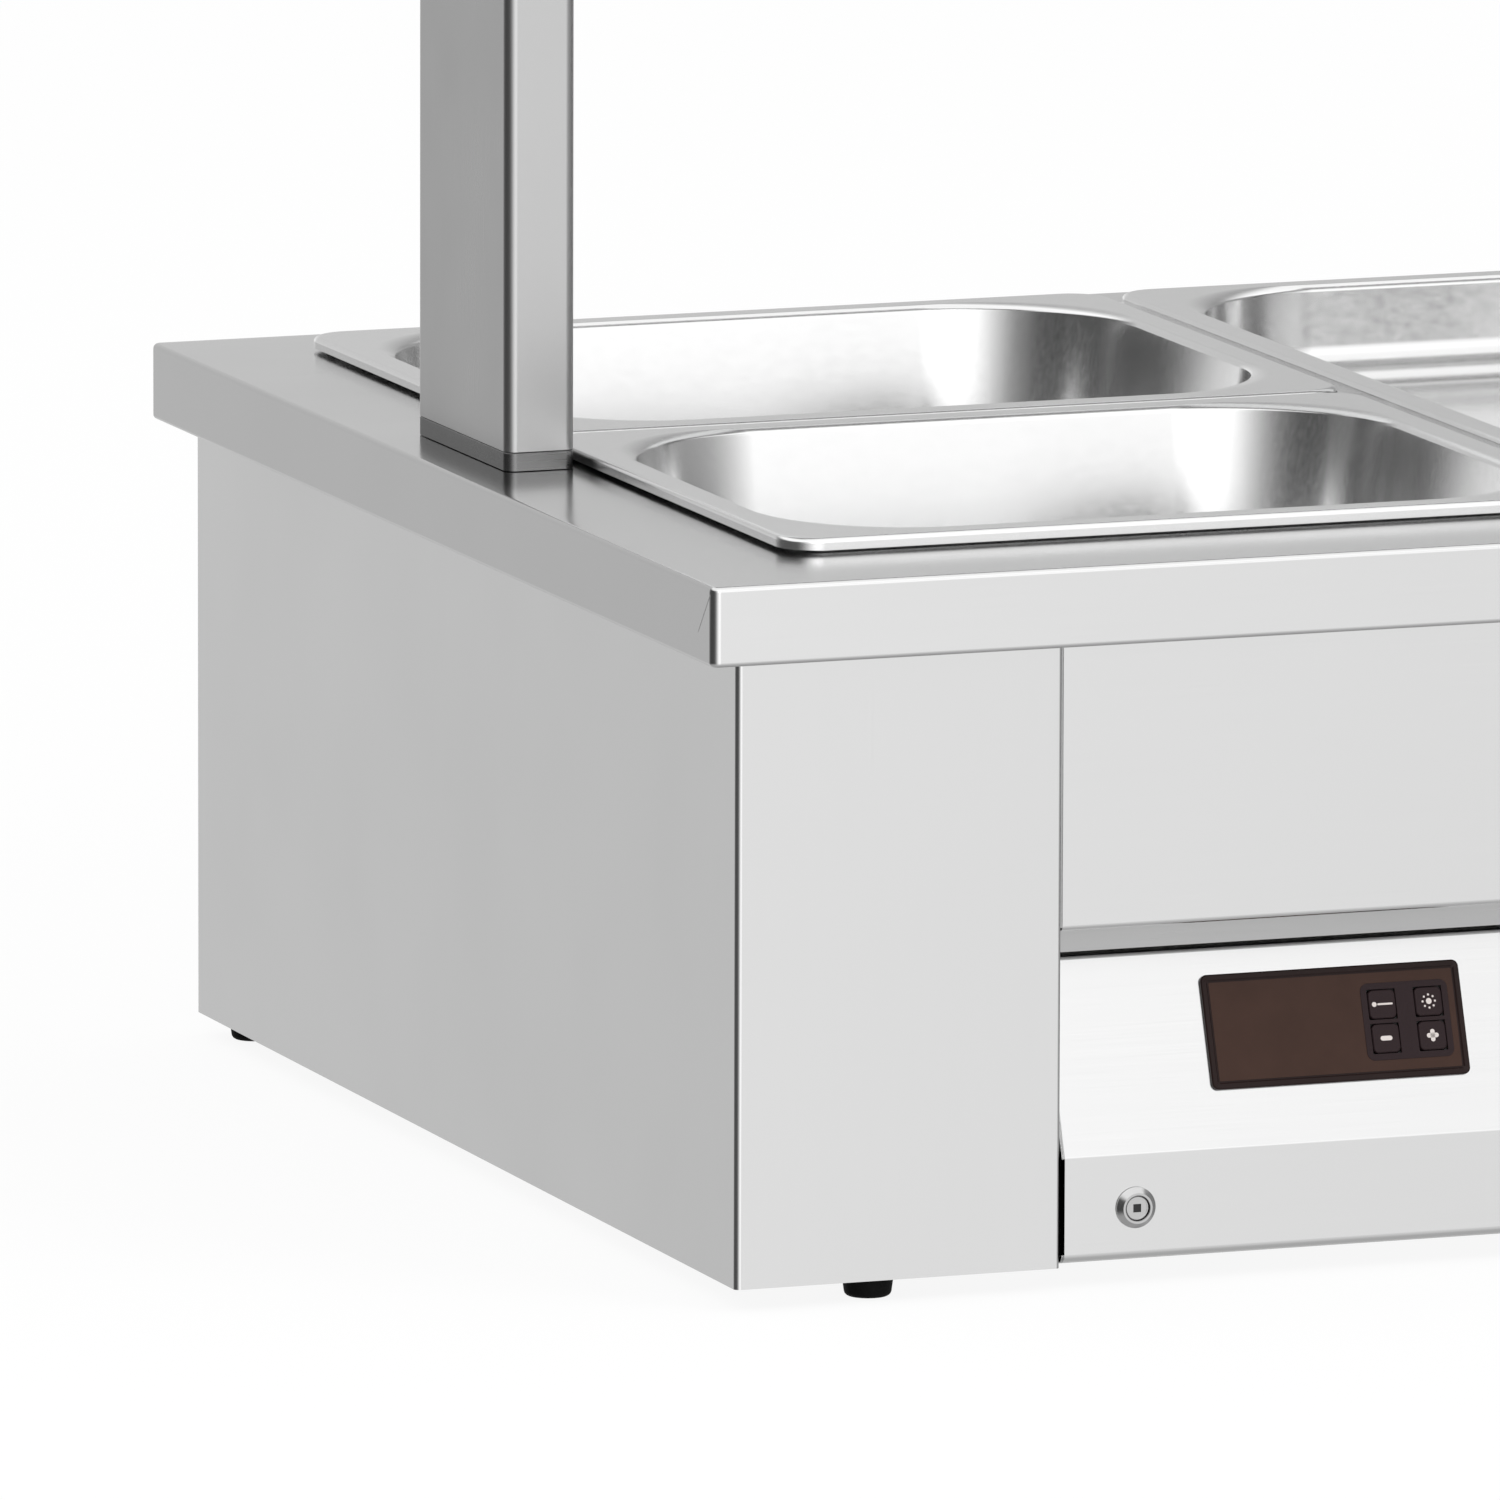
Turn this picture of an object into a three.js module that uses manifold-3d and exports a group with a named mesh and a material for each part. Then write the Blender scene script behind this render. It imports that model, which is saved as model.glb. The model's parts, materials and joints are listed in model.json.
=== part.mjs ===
// Countertop bain-marie for gastronorm pans, with an overhead lamp gantry.
// Millimetres, +Z up, +X to the operator's right, +Y to the rear.
// The origin is the middle of the bounding box, on the surface the feet stand on.

import * as THREE from 'three';
import { mergeVertices } from 'three/addons/utils/BufferGeometryUtils.js';
import Module from 'manifold-3d';

const wasm = await Module();
wasm.setup();

// Fits and sheet metal
const fitGap = 0.3;
const overrun = 3;
const caseSheet = 1.2;
const bendRadius = 2.2;

// Gastronorm pans
const columns = 3;
const panLong = 325;
const panShort = 265;
const panFit = 0.6;
const columnGap = 3;
const panSheet = 1;
const rimHeight = 5.8;
const rimDrop = 3;
const rimBend = 1.8;
const rimCorner = 14;
const flangeWidth = 12.5;
const mouthBend = 2.5;
const mouthCorner = 64;
const floorBend = 16;
const floorCorner = 32;
const deepDraft = 16;
const shallowDraft = 4;
const deepPanDepth = 100;
const shallowPanDepth = 40;

// Worktop
const worktopSheet = 1.5;
const sideMargin = 48.5;
const frontMargin = 56;
const rearMargin = 30;
const lipHeight = 29;
const lipHem = 7;
const lipBend = 3;
const beadInset = 6.5;
const beadWidth = 2.5;
const openingCorner = 12;
const cableHoleRadius = 6;

// Well tank, heaters and what encloses them
const ledgeWidth = 4;
const tankFlange = 9;
const tankSheet = 1.2;
const tankBend = 10;
const tankCorner = 30;
const waterSpace = 55.8;
const elementRadius = 4;
const elementPitch = 60;
const elementRuns = 4;
const elementEndRoom = 40;
const insulationThickness = 25;
const shieldWallHeight = 60;
const serviceHeight = 68.7;

// Bars that carry the pan rims
const barTop = 14;
const barFoot = 5;
const barSheet = 1.2;
const rowBarWidth = 18;
const notchLength = 6;
const webDepth = 16;

// Cabinet
const lipOverSide = 14;
const lipOverFront = 12.5;
const lipOverRear = 12;
const jointInset = 138;
const rearReturn = 22;
const seamGap = 0.4;
const topFlange = 14;
const recessDepth = 24.5;
const stripHeight = 12;
const slit = 1.5;
const slopeHeight = 69;
const lowerFaceHeight = 38.5;
const ribSetback = 14;
const ribWidth = 4;
const ribHeight = 11;
const trayUpstand = 16;

// Feet
const footHeight = 8.5;
const footTopRadius = 9.5;
const footBottomRadius = 8.3;
const footEdge = 1.2;
const frontFootSide = 57;
const rearFootSide = 17;
const footSetback = 17.5;

// Control flap, its hinge and its locks
const flapGap = 0.6;
const flapReturn = 10;
const pivotInset = 6;
const studRadius = 2.5;
const studLength = 5;
const studHeadRadius = 4;
const studHeadLength = 2;
const lockInset = 167;
const lockAbove = 19;
const lockRingRadius = 7.5;
const lockRingProud = 2.4;
const lockRingEdge = 1.6;
const lockSleeveRadius = 6;
const lockSleeveLength = 12;
const lockNutRadius = 9.5;
const lockNutLength = 4;
const lockBoreRadius = 4.6;
const lockRotorRecess = 0.6;
const socketSize = 4;
const socketDepth = 3;
const camLength = 14;
const camWidth = 9;
const camThickness = 2;
const camCorner = 3;
const camOverlap = 0.1;

// Controller and light switch
const glassWidth = 100;
const glassHeight = 42;
const glassProud = 1.6;
const glassCorner = 2.5;
const glassInset = 61;
const glassAbove = 21;
const caseWall = 3;
const caseDepth = 24;
const caseCorner = 3;
const keySize = 10.5;
const keyPitchAcross = 18;
const keyPitchUp = 12.5;
const keyMargin = 8;
const keyDepth = 3;
const keyProud = 0.3;
const keyCorner = 2;
const keyTravel = 0.5;
const switchWidth = 22;
const switchHeight = 30;
const switchProud = 2;
const switchWall = 2.2;
const switchDepth = 20;
const switchInset = 95;
const rockerTilt = 8;
const rockerDepth = 7;
const rockerRise = 1.5;

// Drain
const drainColumnShare = 0.5;
const drainRearRoom = 49;
const pipeRadius = 11;
const pipeBore = 9;
const pipeBend = 20;
const pipeReach = 6;
const tapRadius = 15;
const tapBodyLength = 26;
const tapOutletRadius = 11;
const tapOutletBore = 8;
const tapOutletLength = 14;
const tapBoreDepth = 20;
const tapShoulder = 3;
const stemRadius = 6;
const stemHeight = 7;
const leverHubRadius = 9;
const leverThickness = 3;
const leverLength = 46;
const leverWidth = 11;
const leverBend = 8;
const leverGripShare = 0.45;

// Electrical pieces
const probeRadius = 3;
const probeLength = 70;
const probeOffset = 131;
const thermostatRadius = 12;
const thermostatDepth = 10;
const thermostatPinRadius = 3;
const thermostatPinLength = 6;
const thermostatOffset = 164;
const relayWidth = 45;
const relayDepth = 40;
const relayHeight = 44;
const relayStep = 12;
const relayClearance = 52.5;
const terminalLength = 58;
const terminalDepth = 24;
const terminalHeight = 26;
const terminalStep = 8;
const blockSetback = 70;
const glandInset = 139;
const glandThreadRadius = 8;
const glandBore = 4.5;
const glandFlangeRadius = 12;
const glandFlangeLength = 6;
const glandDomeRadius = 8.5;
const glandDomeEdge = 3;
const glandDomeTaper = 2;
const glandLength = 18;
const glandTail = 10;

// Gantry
const postInset = 20;
const postWidth = 27;
const postDepth = 98.5;
const postCorner = 3;
const postWall = 1.5;
const servingHeight = 350;
const collarHeight = 7;
const spigotHeight = 12;
const canopyHeight = 62;
const canopyDepth = 290;
const canopyHem = 9;
const canopyBend = 4;
const canopyCorner = 6;
const trayEndGap = 2;
const trayFlange = 22;
const trayTopWidth = 90;
const trayRise = 40;
const lampRadius = 5;
const lampCapRadius = 6.5;
const lampCapLength = 24;
const lampInset = 60;
const holderWidth = 14;
const holderDepth = 24;
const holderWall = 5;
const lampDrop = 20;

// Guard glass
const paneThickness = 6;
const paneHeight = 230;
const paneAboveSkirt = 24;
const paneTilt = 12;
const paneEndInset = 20;
const clampLength = 42;
const clampWall = 5;
const clampGrip = 22;
const clampInset = 150;

// How finely round things are divided
const bendSteps = 2;
const cornerSteps = 3;
const roundSides = 12;
const tubeSides = 8;
const hexagonSides = 6;

// Worked out from the sizes above
const panColumnsWidth = columns * panLong + (columns - 1) * columnGap;
const panRowsDepth = 2 * panShort;
const worktopWidth = panColumnsWidth + 2 * sideMargin;
const worktopDepth = panRowsDepth + frontMargin + rearMargin;
const columnPitch = panLong + columnGap;
const openingInset = beadInset + beadWidth;
const beadHeight = rimHeight - panSheet - fitGap;
const tankInset = openingInset + ledgeWidth;
const tankDepth = deepPanDepth - rimHeight + waterSpace;
const drainY = panRowsDepth / 2 - tankInset - drainRearRoom;
const barHeight = worktopSheet + rimHeight - rimDrop - fitGap;
const shieldDrop = tankDepth + tankSheet + 4 * fitGap + 2 * elementRadius + insulationThickness;
const bodyHeight = shieldDrop + 2 * caseSheet + serviceHeight;
const bodyHalfWidth = worktopWidth / 2 - lipOverSide;
const frontPlane = -worktopDepth / 2 + lipOverFront;
const rearPlane = worktopDepth / 2 - lipOverRear;
const wellMiddle = (frontMargin - rearMargin) / 2;
const jointX = worktopWidth / 2 - jointInset;
const wallTop = bodyHeight - worktopSheet - fitGap;
const flapBottom = caseSheet + fitGap;
const foldHeight = flapBottom + lowerFaceHeight;
const flapTop = foldHeight + slopeHeight;
const recessBottom = flapTop + slit;
const recessTop = recessBottom + stripHeight;
const slopeAngle = Math.atan2(recessDepth, slopeHeight);
const flapHalfWidth = jointX - flapGap;
const pivotY = recessDepth + pivotInset;
const pivotZ = flapTop - pivotInset;
const casingReturn = pivotY + 2 * pivotInset;
const rearPanelPlane = rearPlane - caseSheet - fitGap;
const drainX = columnPitch * drainColumnShare;
const drainZ = serviceHeight / 2 + caseSheet;
const glandX = worktopWidth / 2 - glandInset;
const pipeEndY = rearPlane + pipeReach;
const tapEndY = pipeEndY + fitGap + tapBodyLength + tapOutletLength;
const rearReach = tapEndY - worktopDepth / 2;
const gantryTop = servingHeight + canopyHeight;
const postX = worktopWidth / 2 - postInset - postWidth / 2;
const trayHalfLength = postX - postWidth / 2 - trayEndGap;
const paneSeat = paneThickness / 2 + 2 * clampWall;

// Finishes
const finish = (color, roughness, metalness) => (
  new THREE.MeshStandardMaterial({ color, roughness, metalness })
);
const satinSteel = finish(0xc9cacb, 0.4, 1);
const deepDrawnSteel = finish(0xd4d5d6, 0.22, 1);
const tankSteel = finish(0xb9babb, 0.35, 1);
const polishedAluminium = finish(0xe4e5e7, 0.15, 1);
const turnedSteel = finish(0xb0b1b3, 0.3, 1);
const darkCollar = finish(0x6f7072, 0.5, 0.6);
const blackRubber = finish(0x141414, 0.8, 0);
const blackPlastic = finish(0x1d1d1f, 0.5, 0);
const smokedGlass = finish(0x3c2f2c, 0.12, 0);
const keyPlastic = finish(0x241d1b, 0.35, 0);
const greyPlastic = finish(0x8b8d90, 0.6, 0);
const mineralWool = finish(0xc8b98a, 0.95, 0);
const nickelBrass = finish(0xb8b2a4, 0.3, 1);
const leverPaint = finish(0xa8241c, 0.5, 0);
const steatite = finish(0xe9e3d6, 0.7, 0);
const quartz = finish(0xf2efe8, 0.1, 0);
const clearGlass = finish(0xcfe0dc, 0.05, 0);

// Small helpers for points, rectangles and solids

const point = (x, y) => new THREE.Vector2(x, y);

// A rectangle given by its middle and its full width and depth.
const rectangle = (x, y, width, depth) => ({
  left: x - width / 2, right: x + width / 2, front: y - depth / 2, rear: y + depth / 2,
});

const inset = (rect, by) => ({
  left: rect.left + by, right: rect.right - by, front: rect.front + by, rear: rect.rear - by,
});

// The points of a rounded rectangle at one height, anticlockwise from its front right corner.
function ring(rect, radius, z) {
  const corners = [
    [rect.right - radius, rect.front + radius, -Math.PI / 2],
    [rect.right - radius, rect.rear - radius, 0],
    [rect.left + radius, rect.rear - radius, Math.PI / 2],
    [rect.left + radius, rect.front + radius, Math.PI],
  ];
  return corners.flatMap(([x, y, from]) => Array.from({ length: cornerSteps + 1 }, (_, k) => {
    const angle = from + Math.PI / 2 * k / cornerSteps;
    return new THREE.Vector3(x + radius * Math.cos(angle), y + radius * Math.sin(angle), z);
  }));
}

// Six times the volume inside a mesh, negative when its faces point in.
function signedVolume(positions, index) {
  const corner = (i) => new THREE.Vector3().fromArray(positions, 3 * index[i]);
  let sum = 0;
  for (let i = 0; i < index.length; i += 3) sum += corner(i).dot(corner(i + 1).cross(corner(i + 2)));
  return sum;
}

// Turns a mesh's faces outwards.
function facingOut(geometry) {
  const index = Array.from(geometry.index.array);
  if (signedVolume(geometry.attributes.position.array, index) < 0) {
    for (let i = 0; i < index.length; i += 3) [index[i], index[i + 1]] = [index[i + 1], index[i]];
    geometry.setIndex(index);
  }
  geometry.computeVertexNormals();
  return geometry;
}

// A closed solid through rings of equal point counts: capped at both ends, or joined end to start.
function loft(rings, joined = false) {
  const count = rings[0].length;
  const positions = rings.flatMap((points) => points.flatMap((p) => p.toArray()));
  const index = [];
  const bands = joined ? rings.length : rings.length - 1;
  for (let i = 0; i < bands; i++) {
    const here = i * count;
    const next = ((i + 1) % rings.length) * count;
    for (let j = 0; j < count; j++) {
      const k = (j + 1) % count;
      index.push(here + j, here + k, next + k, here + j, next + k, next + j);
    }
  }
  const cap = (points, start, reversed) => {
    const middle = positions.length / 3;
    const centre = points.reduce((sum, p) => sum.add(p), new THREE.Vector3()).divideScalar(count);
    positions.push(...centre.toArray());
    for (let j = 0; j < count; j++) {
      const k = (j + 1) % count;
      index.push(middle, start + (reversed ? j : k), start + (reversed ? k : j));
    }
  };
  if (!joined) {
    cap(rings[0], 0, false);
    cap(rings[rings.length - 1], (rings.length - 1) * count, true);
  }
  const geometry = new THREE.BufferGeometry();
  geometry.setAttribute('position', new THREE.Float32BufferAttribute(positions, 3));
  geometry.setIndex(index);
  return facingOut(geometry);
}

// Both faces of a sheet bent along a path. The metal lies on the path's left (side 1) or right (-1).
// radius is the bends' outer radius, one for all or a list with one for each bend.
function bentFaces(path, thickness, side, radius = bendRadius) {
  const face = [];
  const back = [];
  const last = path.length - 1;
  path.forEach((corner, i) => {
    if (i === 0 || i === last) {
      const along = i === 0 ? path[1].clone().sub(corner) : corner.clone().sub(path[last - 1]);
      along.normalize();
      const normal = point(-along.y, along.x).multiplyScalar(side);
      face.push(corner.clone());
      back.push(corner.clone().addScaledVector(normal, thickness));
      return;
    }
    const before = corner.clone().sub(path[i - 1]).normalize();
    const after = path[i + 1].clone().sub(corner).normalize();
    const turn = Math.atan2(before.cross(after), before.dot(after));
    const outer = Array.isArray(radius) ? radius[i - 1] : radius;
    const metalInside = Math.sign(turn) === side;
    const faceRadius = metalInside ? outer : outer - thickness;
    const backRadius = metalInside ? outer - thickness : outer;
    const inwards = point(-before.y, before.x).multiplyScalar(Math.sign(turn));
    const start = corner.clone().addScaledVector(before, -faceRadius * Math.tan(Math.abs(turn) / 2));
    const centre = start.clone().addScaledVector(inwards, faceRadius);
    for (let k = 0; k <= bendSteps; k++) {
      const spoke = inwards.clone().negate().rotateAround(point(0, 0), turn * k / bendSteps);
      face.push(centre.clone().addScaledVector(spoke, faceRadius));
      back.push(centre.clone().addScaledVector(spoke, backRadius));
    }
  });
  return { face, back };
}

// The outline of a bent sheet, seen along its bends.
function bentSheet(path, thickness, side, radius) {
  const { face, back } = bentFaces(path, thickness, side, radius);
  return new THREE.Shape([...face, ...back.reverse()]);
}

// A pressed or welded tray: a bent path of (inset from the rim, height) carried round a rounded rectangle.
// cornerAt gives the corner radius for an inset. The path starts at the middle and ends at the rim.
function pressedSheet(rect, path, thickness, side, radius, cornerAt) {
  const { face, back } = bentFaces(path, thickness, side, radius);
  const turn = (p) => ring(inset(rect, p.x), cornerAt(p.x), p.y);
  return loft([...face.map(turn), ...back.reverse().map(turn)]);
}

// A round hole in a shape.
function roundHole(x, y, radius) {
  const points = Array.from({ length: roundSides }, (_, k) => {
    const angle = -2 * Math.PI * (k + 0.5) / roundSides;
    return point(x + radius * Math.cos(angle), y + radius * Math.sin(angle));
  });
  return new THREE.Path(points);
}

// Extrusions with their outline in the other two axes: X takes (y, z), Y takes (x, z), Z takes (x, y).
const extrude = (shape, length) => new THREE.ExtrudeGeometry(shape, {
  depth: length, bevelEnabled: false, curveSegments: roundSides / 4,
});

function extrudeX(shape, from, to) {
  const axes = new THREE.Matrix4().set(0, 0, 1, from, 1, 0, 0, 0, 0, 1, 0, 0, 0, 0, 0, 1);
  return extrude(shape, to - from).applyMatrix4(axes);
}

function extrudeY(shape, from, to) {
  const axes = new THREE.Matrix4().set(1, 0, 0, 0, 0, 0, -1, to, 0, 1, 0, 0, 0, 0, 0, 1);
  return extrude(shape, to - from).applyMatrix4(axes);
}

function extrudeZ(shape, from, to) {
  return extrude(shape, to - from).translate(0, 0, from);
}

// A block with rounded upright corners.
const block = (rect, radius, from, to) => loft([ring(rect, radius, from), ring(rect, radius, to)]);

// A round bar along X, Y or Z, with its middle at the origin.
function bar(radius, length, axis) {
  const geometry = new THREE.CylinderGeometry(radius, radius, length, roundSides);
  if (axis === 'x') geometry.rotateZ(Math.PI / 2);
  if (axis === 'z') geometry.rotateX(Math.PI / 2);
  return geometry;
}

// A turned piece about Y from a profile of (radius, y) pairs.
const turned = (profile, around = roundSides) => (
  facingOut(welded(new THREE.LatheGeometry(profile.map(([r, y]) => point(r, y)), around)))
);

// The same mesh with only its positions, and with vertices that coincide made one.
function welded(geometry) {
  const bare = geometry.clone();
  bare.deleteAttribute('normal');
  bare.deleteAttribute('uv');
  const merged = mergeVertices(bare);
  const kept = [];
  const index = merged.index.array;
  for (let i = 0; i < index.length; i += 3) {
    const [a, b, c] = [index[i], index[i + 1], index[i + 2]];
    if (a !== b && b !== c && c !== a) kept.push(a, b, c);
  }
  merged.setIndex(kept);
  return merged;
}

function toSolid(geometry) {
  const mesh = welded(geometry);
  return new wasm.Manifold(new wasm.Mesh({
    numProp: 3,
    vertProperties: new Float32Array(mesh.attributes.position.array),
    triVerts: new Uint32Array(mesh.index.array),
  }));
}

function fromSolid(solid) {
  const mesh = solid.getMesh();
  const geometry = new THREE.BufferGeometry();
  geometry.setAttribute('position', new THREE.BufferAttribute(new Float32Array(mesh.vertProperties), 3));
  geometry.setIndex(Array.from(mesh.triVerts));
  geometry.computeVertexNormals();
  return geometry;
}

const cut = (base, ...tools) => (
  fromSolid(tools.reduce((solid, tool) => solid.subtract(toSolid(tool)), toSolid(base)))
);

const join = (base, ...more) => (
  fromSolid(more.reduce((solid, tool) => solid.add(toSolid(tool)), toSolid(base)))
);

const group = (parent, x, y, z) => {
  const made = new THREE.Group();
  made.position.set(x, y, z);
  parent.add(made);
  return made;
};

function place(parent, name, geometry, material, x = 0, y = 0, z = 0) {
  const mesh = new THREE.Mesh(geometry, material);
  mesh.name = name;
  mesh.position.set(x, y, z);
  parent.add(mesh);
  return mesh;
}

const sides = [['left', -1], ['right', 1]];

// The rectangle that the pan rims fill, and the worktop's own outline, about the well's middle.
const wellRect = rectangle(0, 0, panColumnsWidth, panRowsDepth);
const worktopRect = rectangle(0, -wellMiddle, worktopWidth, worktopDepth);

// A worktop with lips folded down and hemmed, and a bead round the opening, notched where rims meet.
function worktop() {
  const lip = (by, bend, z) => ring(inset(worktopRect, by), bend, z);
  const innerBend = lipBend - worktopSheet;
  const opening = (by, z) => ring(inset(wellRect, by), openingCorner, z);
  const fold = (radius, z, sign) => Array.from({ length: bendSteps + 1 }, (_, k) => {
    const angle = Math.PI / 2 * k / bendSteps;
    const by = lipBend - radius * Math.sin(angle);
    return lip(by, Math.max(lipBend - by, fitGap), z + sign * radius * Math.cos(angle));
  });
  const rings = [
    opening(openingInset, -worktopSheet),
    opening(openingInset, beadHeight),
    opening(beadInset, beadHeight),
    opening(beadInset, 0),
    ...fold(lipBend, -lipBend, 1),
    lip(0, lipBend, -lipHeight),
    lip(lipHem, fitGap, -lipHeight),
    lip(lipHem, fitGap, -lipHeight + worktopSheet),
    lip(worktopSheet, innerBend, -lipHeight + worktopSheet),
    ...fold(innerBend, -lipBend, 1).reverse(),
  ];
  const cableHoles = sides.map(([, sign]) => (
    bar(cableHoleRadius, worktopSheet + 2 * overrun, 'z').translate(sign * postX, 0, -worktopSheet / 2)
  ));
  const notchWidth = columnGap + rimCorner + 2 * (panSheet + rimBend);
  const notch = (width, depth) => new THREE.BoxGeometry(width, depth, rimHeight)
    .translate(0, 0, rimHeight / 2 + barHeight - worktopSheet);
  const rowNotch = notch(panColumnsWidth, notchWidth);
  const columnNotches = sides.map(([, sign]) => (
    notch(notchWidth, panRowsDepth).translate(sign * columnPitch / 2, 0, 0)
  ));
  return cut(loft(rings, true), ...cableHoles, rowNotch, ...columnNotches);
}

// The tank, its flange hidden under the worktop except for the ledge that carries the bars.
function wellTank() {
  const flangeTop = -worktopSheet - fitGap;
  const path = [
    point(tankInset + tankBend + overrun, -tankDepth),
    point(tankInset, -tankDepth),
    point(tankInset, flangeTop),
    point(openingInset - tankFlange, flangeTop),
  ];
  const bends = [tankBend, bendRadius + tankSheet];
  const shell = pressedSheet(wellRect, path, tankSheet, 1, bends, () => tankCorner);
  const drainHole = bar(pipeBore, 2 * overrun, 'z').translate(drainX, drainY, -tankDepth);
  return cut(shell, drainHole);
}

// A tray round the tank's lower part that holds the insulation mat.
function heatShield() {
  const by = tankInset - tankSheet - fitGap - caseSheet;
  const path = [
    point(by + tankBend + overrun, -shieldDrop),
    point(by + caseSheet, -shieldDrop),
    point(by + caseSheet, -shieldDrop + shieldWallHeight),
  ];
  const tray = pressedSheet(wellRect, path, caseSheet, 1, [tankBend], () => tankCorner);
  const pipeHole = bar(pipeRadius + fitGap, 2 * overrun, 'z').translate(drainX, drainY, -shieldDrop);
  return cut(tray, pipeHole);
}

function insulationMat() {
  const rect = inset(wellRect, tankInset + tankBend);
  const bottom = -shieldDrop + fitGap;
  const mat = block(rect, tankCorner, bottom, bottom + insulationThickness);
  const pipeHole = bar(pipeRadius + 2 * fitGap, insulationThickness + 2 * overrun, 'z');
  return cut(mat, pipeHole.translate(drainX, drainY, bottom + insulationThickness / 2));
}

// The ring of a round tube at one point of its path, square to its direction in the XY or YZ plane.
function tubeRing(centre, heading, upright, radius, count) {
  const across = new THREE.Vector3().crossVectors(heading, upright).normalize();
  return Array.from({ length: count }, (_, k) => {
    const angle = 2 * Math.PI * k / count;
    return centre.clone().addScaledVector(across, radius * Math.cos(angle))
      .addScaledVector(upright, radius * Math.sin(angle));
  });
}

// A tubular element that runs to and fro under one column, both ends at the front.
function heatingElement() {
  const turnRadius = elementPitch / 2;
  const reach = panRowsDepth / 2 - tankInset - elementEndRoom - turnRadius;
  const up = new THREE.Vector3(0, 0, 1);
  const turnSteps = 2 * cornerSteps;
  const ringAt = (x, y, heading) => (
    tubeRing(new THREE.Vector3(x, y, 0), heading, up, elementRadius, tubeSides)
  );
  const ahead = new THREE.Vector3(0, 1, 0);
  const firstX = -(elementRuns - 1) * elementPitch / 2;
  const rings = [ringAt(firstX, -reach, ahead)];
  for (let run = 0; run < elementRuns - 1; run++) {
    const forward = run % 2 === 0 ? 1 : -1;
    const middle = firstX + run * elementPitch + turnRadius;
    for (let k = 0; k <= turnSteps; k++) {
      const angle = Math.PI * k / turnSteps;
      const heading = new THREE.Vector3(Math.sin(angle), forward * Math.cos(angle), 0);
      const y = forward * (reach + turnRadius * Math.sin(angle));
      rings.push(ringAt(middle - turnRadius * Math.cos(angle), y, heading));
    }
  }
  const lastForward = elementRuns % 2 === 0 ? -1 : 1;
  rings.push(ringAt(-firstX, lastForward * reach, ahead.multiplyScalar(lastForward)));
  return loft(rings);
}

// A stepped flat bar with a web under it, from front to rear of the opening between two columns.
function columnBar() {
  const half = barTop / 2;
  const outline = new THREE.Shape([
    point(-half - barFoot, 0), point(half + barFoot, 0), point(half + barFoot, barSheet),
    point(half, barSheet), point(half, barHeight), point(-half, barHeight), point(-half, barSheet),
    point(-half - barFoot, barSheet),
  ]);
  const length = panRowsDepth - 2 * openingInset - 2 * fitGap;
  const webLength = length - 2 * ledgeWidth - 2 * barFoot;
  const web = new THREE.BoxGeometry(barSheet, webLength, webDepth + barSheet);
  web.translate(0, 0, (barSheet - webDepth) / 2);
  return join(extrudeY(outline, -length / 2, length / 2), web);
}

// A flat bar with a web across one column between its two pans, notched over the column bar's foot.
function rowBar(side) {
  const outerEnd = panColumnsWidth / 2 - openingInset - fitGap;
  const innerEnd = columnPitch / 2 + barTop / 2 + fitGap;
  const webStart = innerEnd + notchLength;
  const webEnd = outerEnd - ledgeWidth - barFoot;
  const flat = new THREE.BoxGeometry(outerEnd - innerEnd, rowBarWidth, barHeight);
  flat.translate((innerEnd + outerEnd) / 2, 0, barHeight / 2);
  const web = new THREE.BoxGeometry(webEnd - webStart, barSheet, webDepth + barSheet);
  web.translate((webStart + webEnd) / 2, 0, (barSheet - webDepth) / 2);
  const notch = new THREE.BoxGeometry(2 * notchLength, rowBarWidth + 2 * overrun, 2 * (barSheet + fitGap));
  notch.translate(innerEnd, 0, 0);
  const notched = cut(join(flat, web), notch);
  return side < 0 ? notched.rotateZ(Math.PI) : notched;
}

// A deep-drawn pan: floor, drafted wall, flat rim and turned-down edge, with its rim top at rimHeight.
function pan(width, depth, drop, draft) {
  const rect = rectangle(0, 0, width - panFit, depth - panFit);
  const mouth = flangeWidth + panSheet;
  const floor = rimHeight - drop + panSheet;
  const path = [
    point(mouth + draft + floorBend + overrun, floor),
    point(mouth + draft, floor),
    point(mouth, rimHeight),
    point(0, rimHeight),
    point(0, rimHeight - rimDrop),
  ];
  const cornerAt = (by) => {
    if (by < mouth) return rimCorner + (mouthCorner - rimCorner) * Math.max(by - rimBend, 0) / mouth;
    return mouthCorner + (floorCorner - mouthCorner) * Math.min((by - mouth) / (draft + floorBend), 1);
  };
  return pressedSheet(rect, path, panSheet, 1, [floorBend, mouthBend, rimBend], cornerAt);
}

// One end of the cabinet: return beside the flap, front strip, side and rear return in one sheet.
function endCasing(sign) {
  const path = [
    point(sign * jointX, frontPlane + casingReturn),
    point(sign * jointX, frontPlane),
    point(sign * bodyHalfWidth, frontPlane),
    point(sign * bodyHalfWidth, rearPlane),
    point(sign * (bodyHalfWidth - rearReturn), rearPlane),
  ];
  return extrudeZ(bentSheet(path, caseSheet, sign), 0, wallTop);
}

// The upper front panel with its top flange, the recess's ceiling and the strip at its back.
function frontPanel() {
  const path = [
    point(topFlange, wallTop), point(0, wallTop), point(0, recessTop),
    point(recessDepth, recessTop), point(recessDepth, recessBottom),
  ];
  const half = jointX - seamGap;
  return extrudeX(bentSheet(path, caseSheet, 1), -half, half);
}

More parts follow.
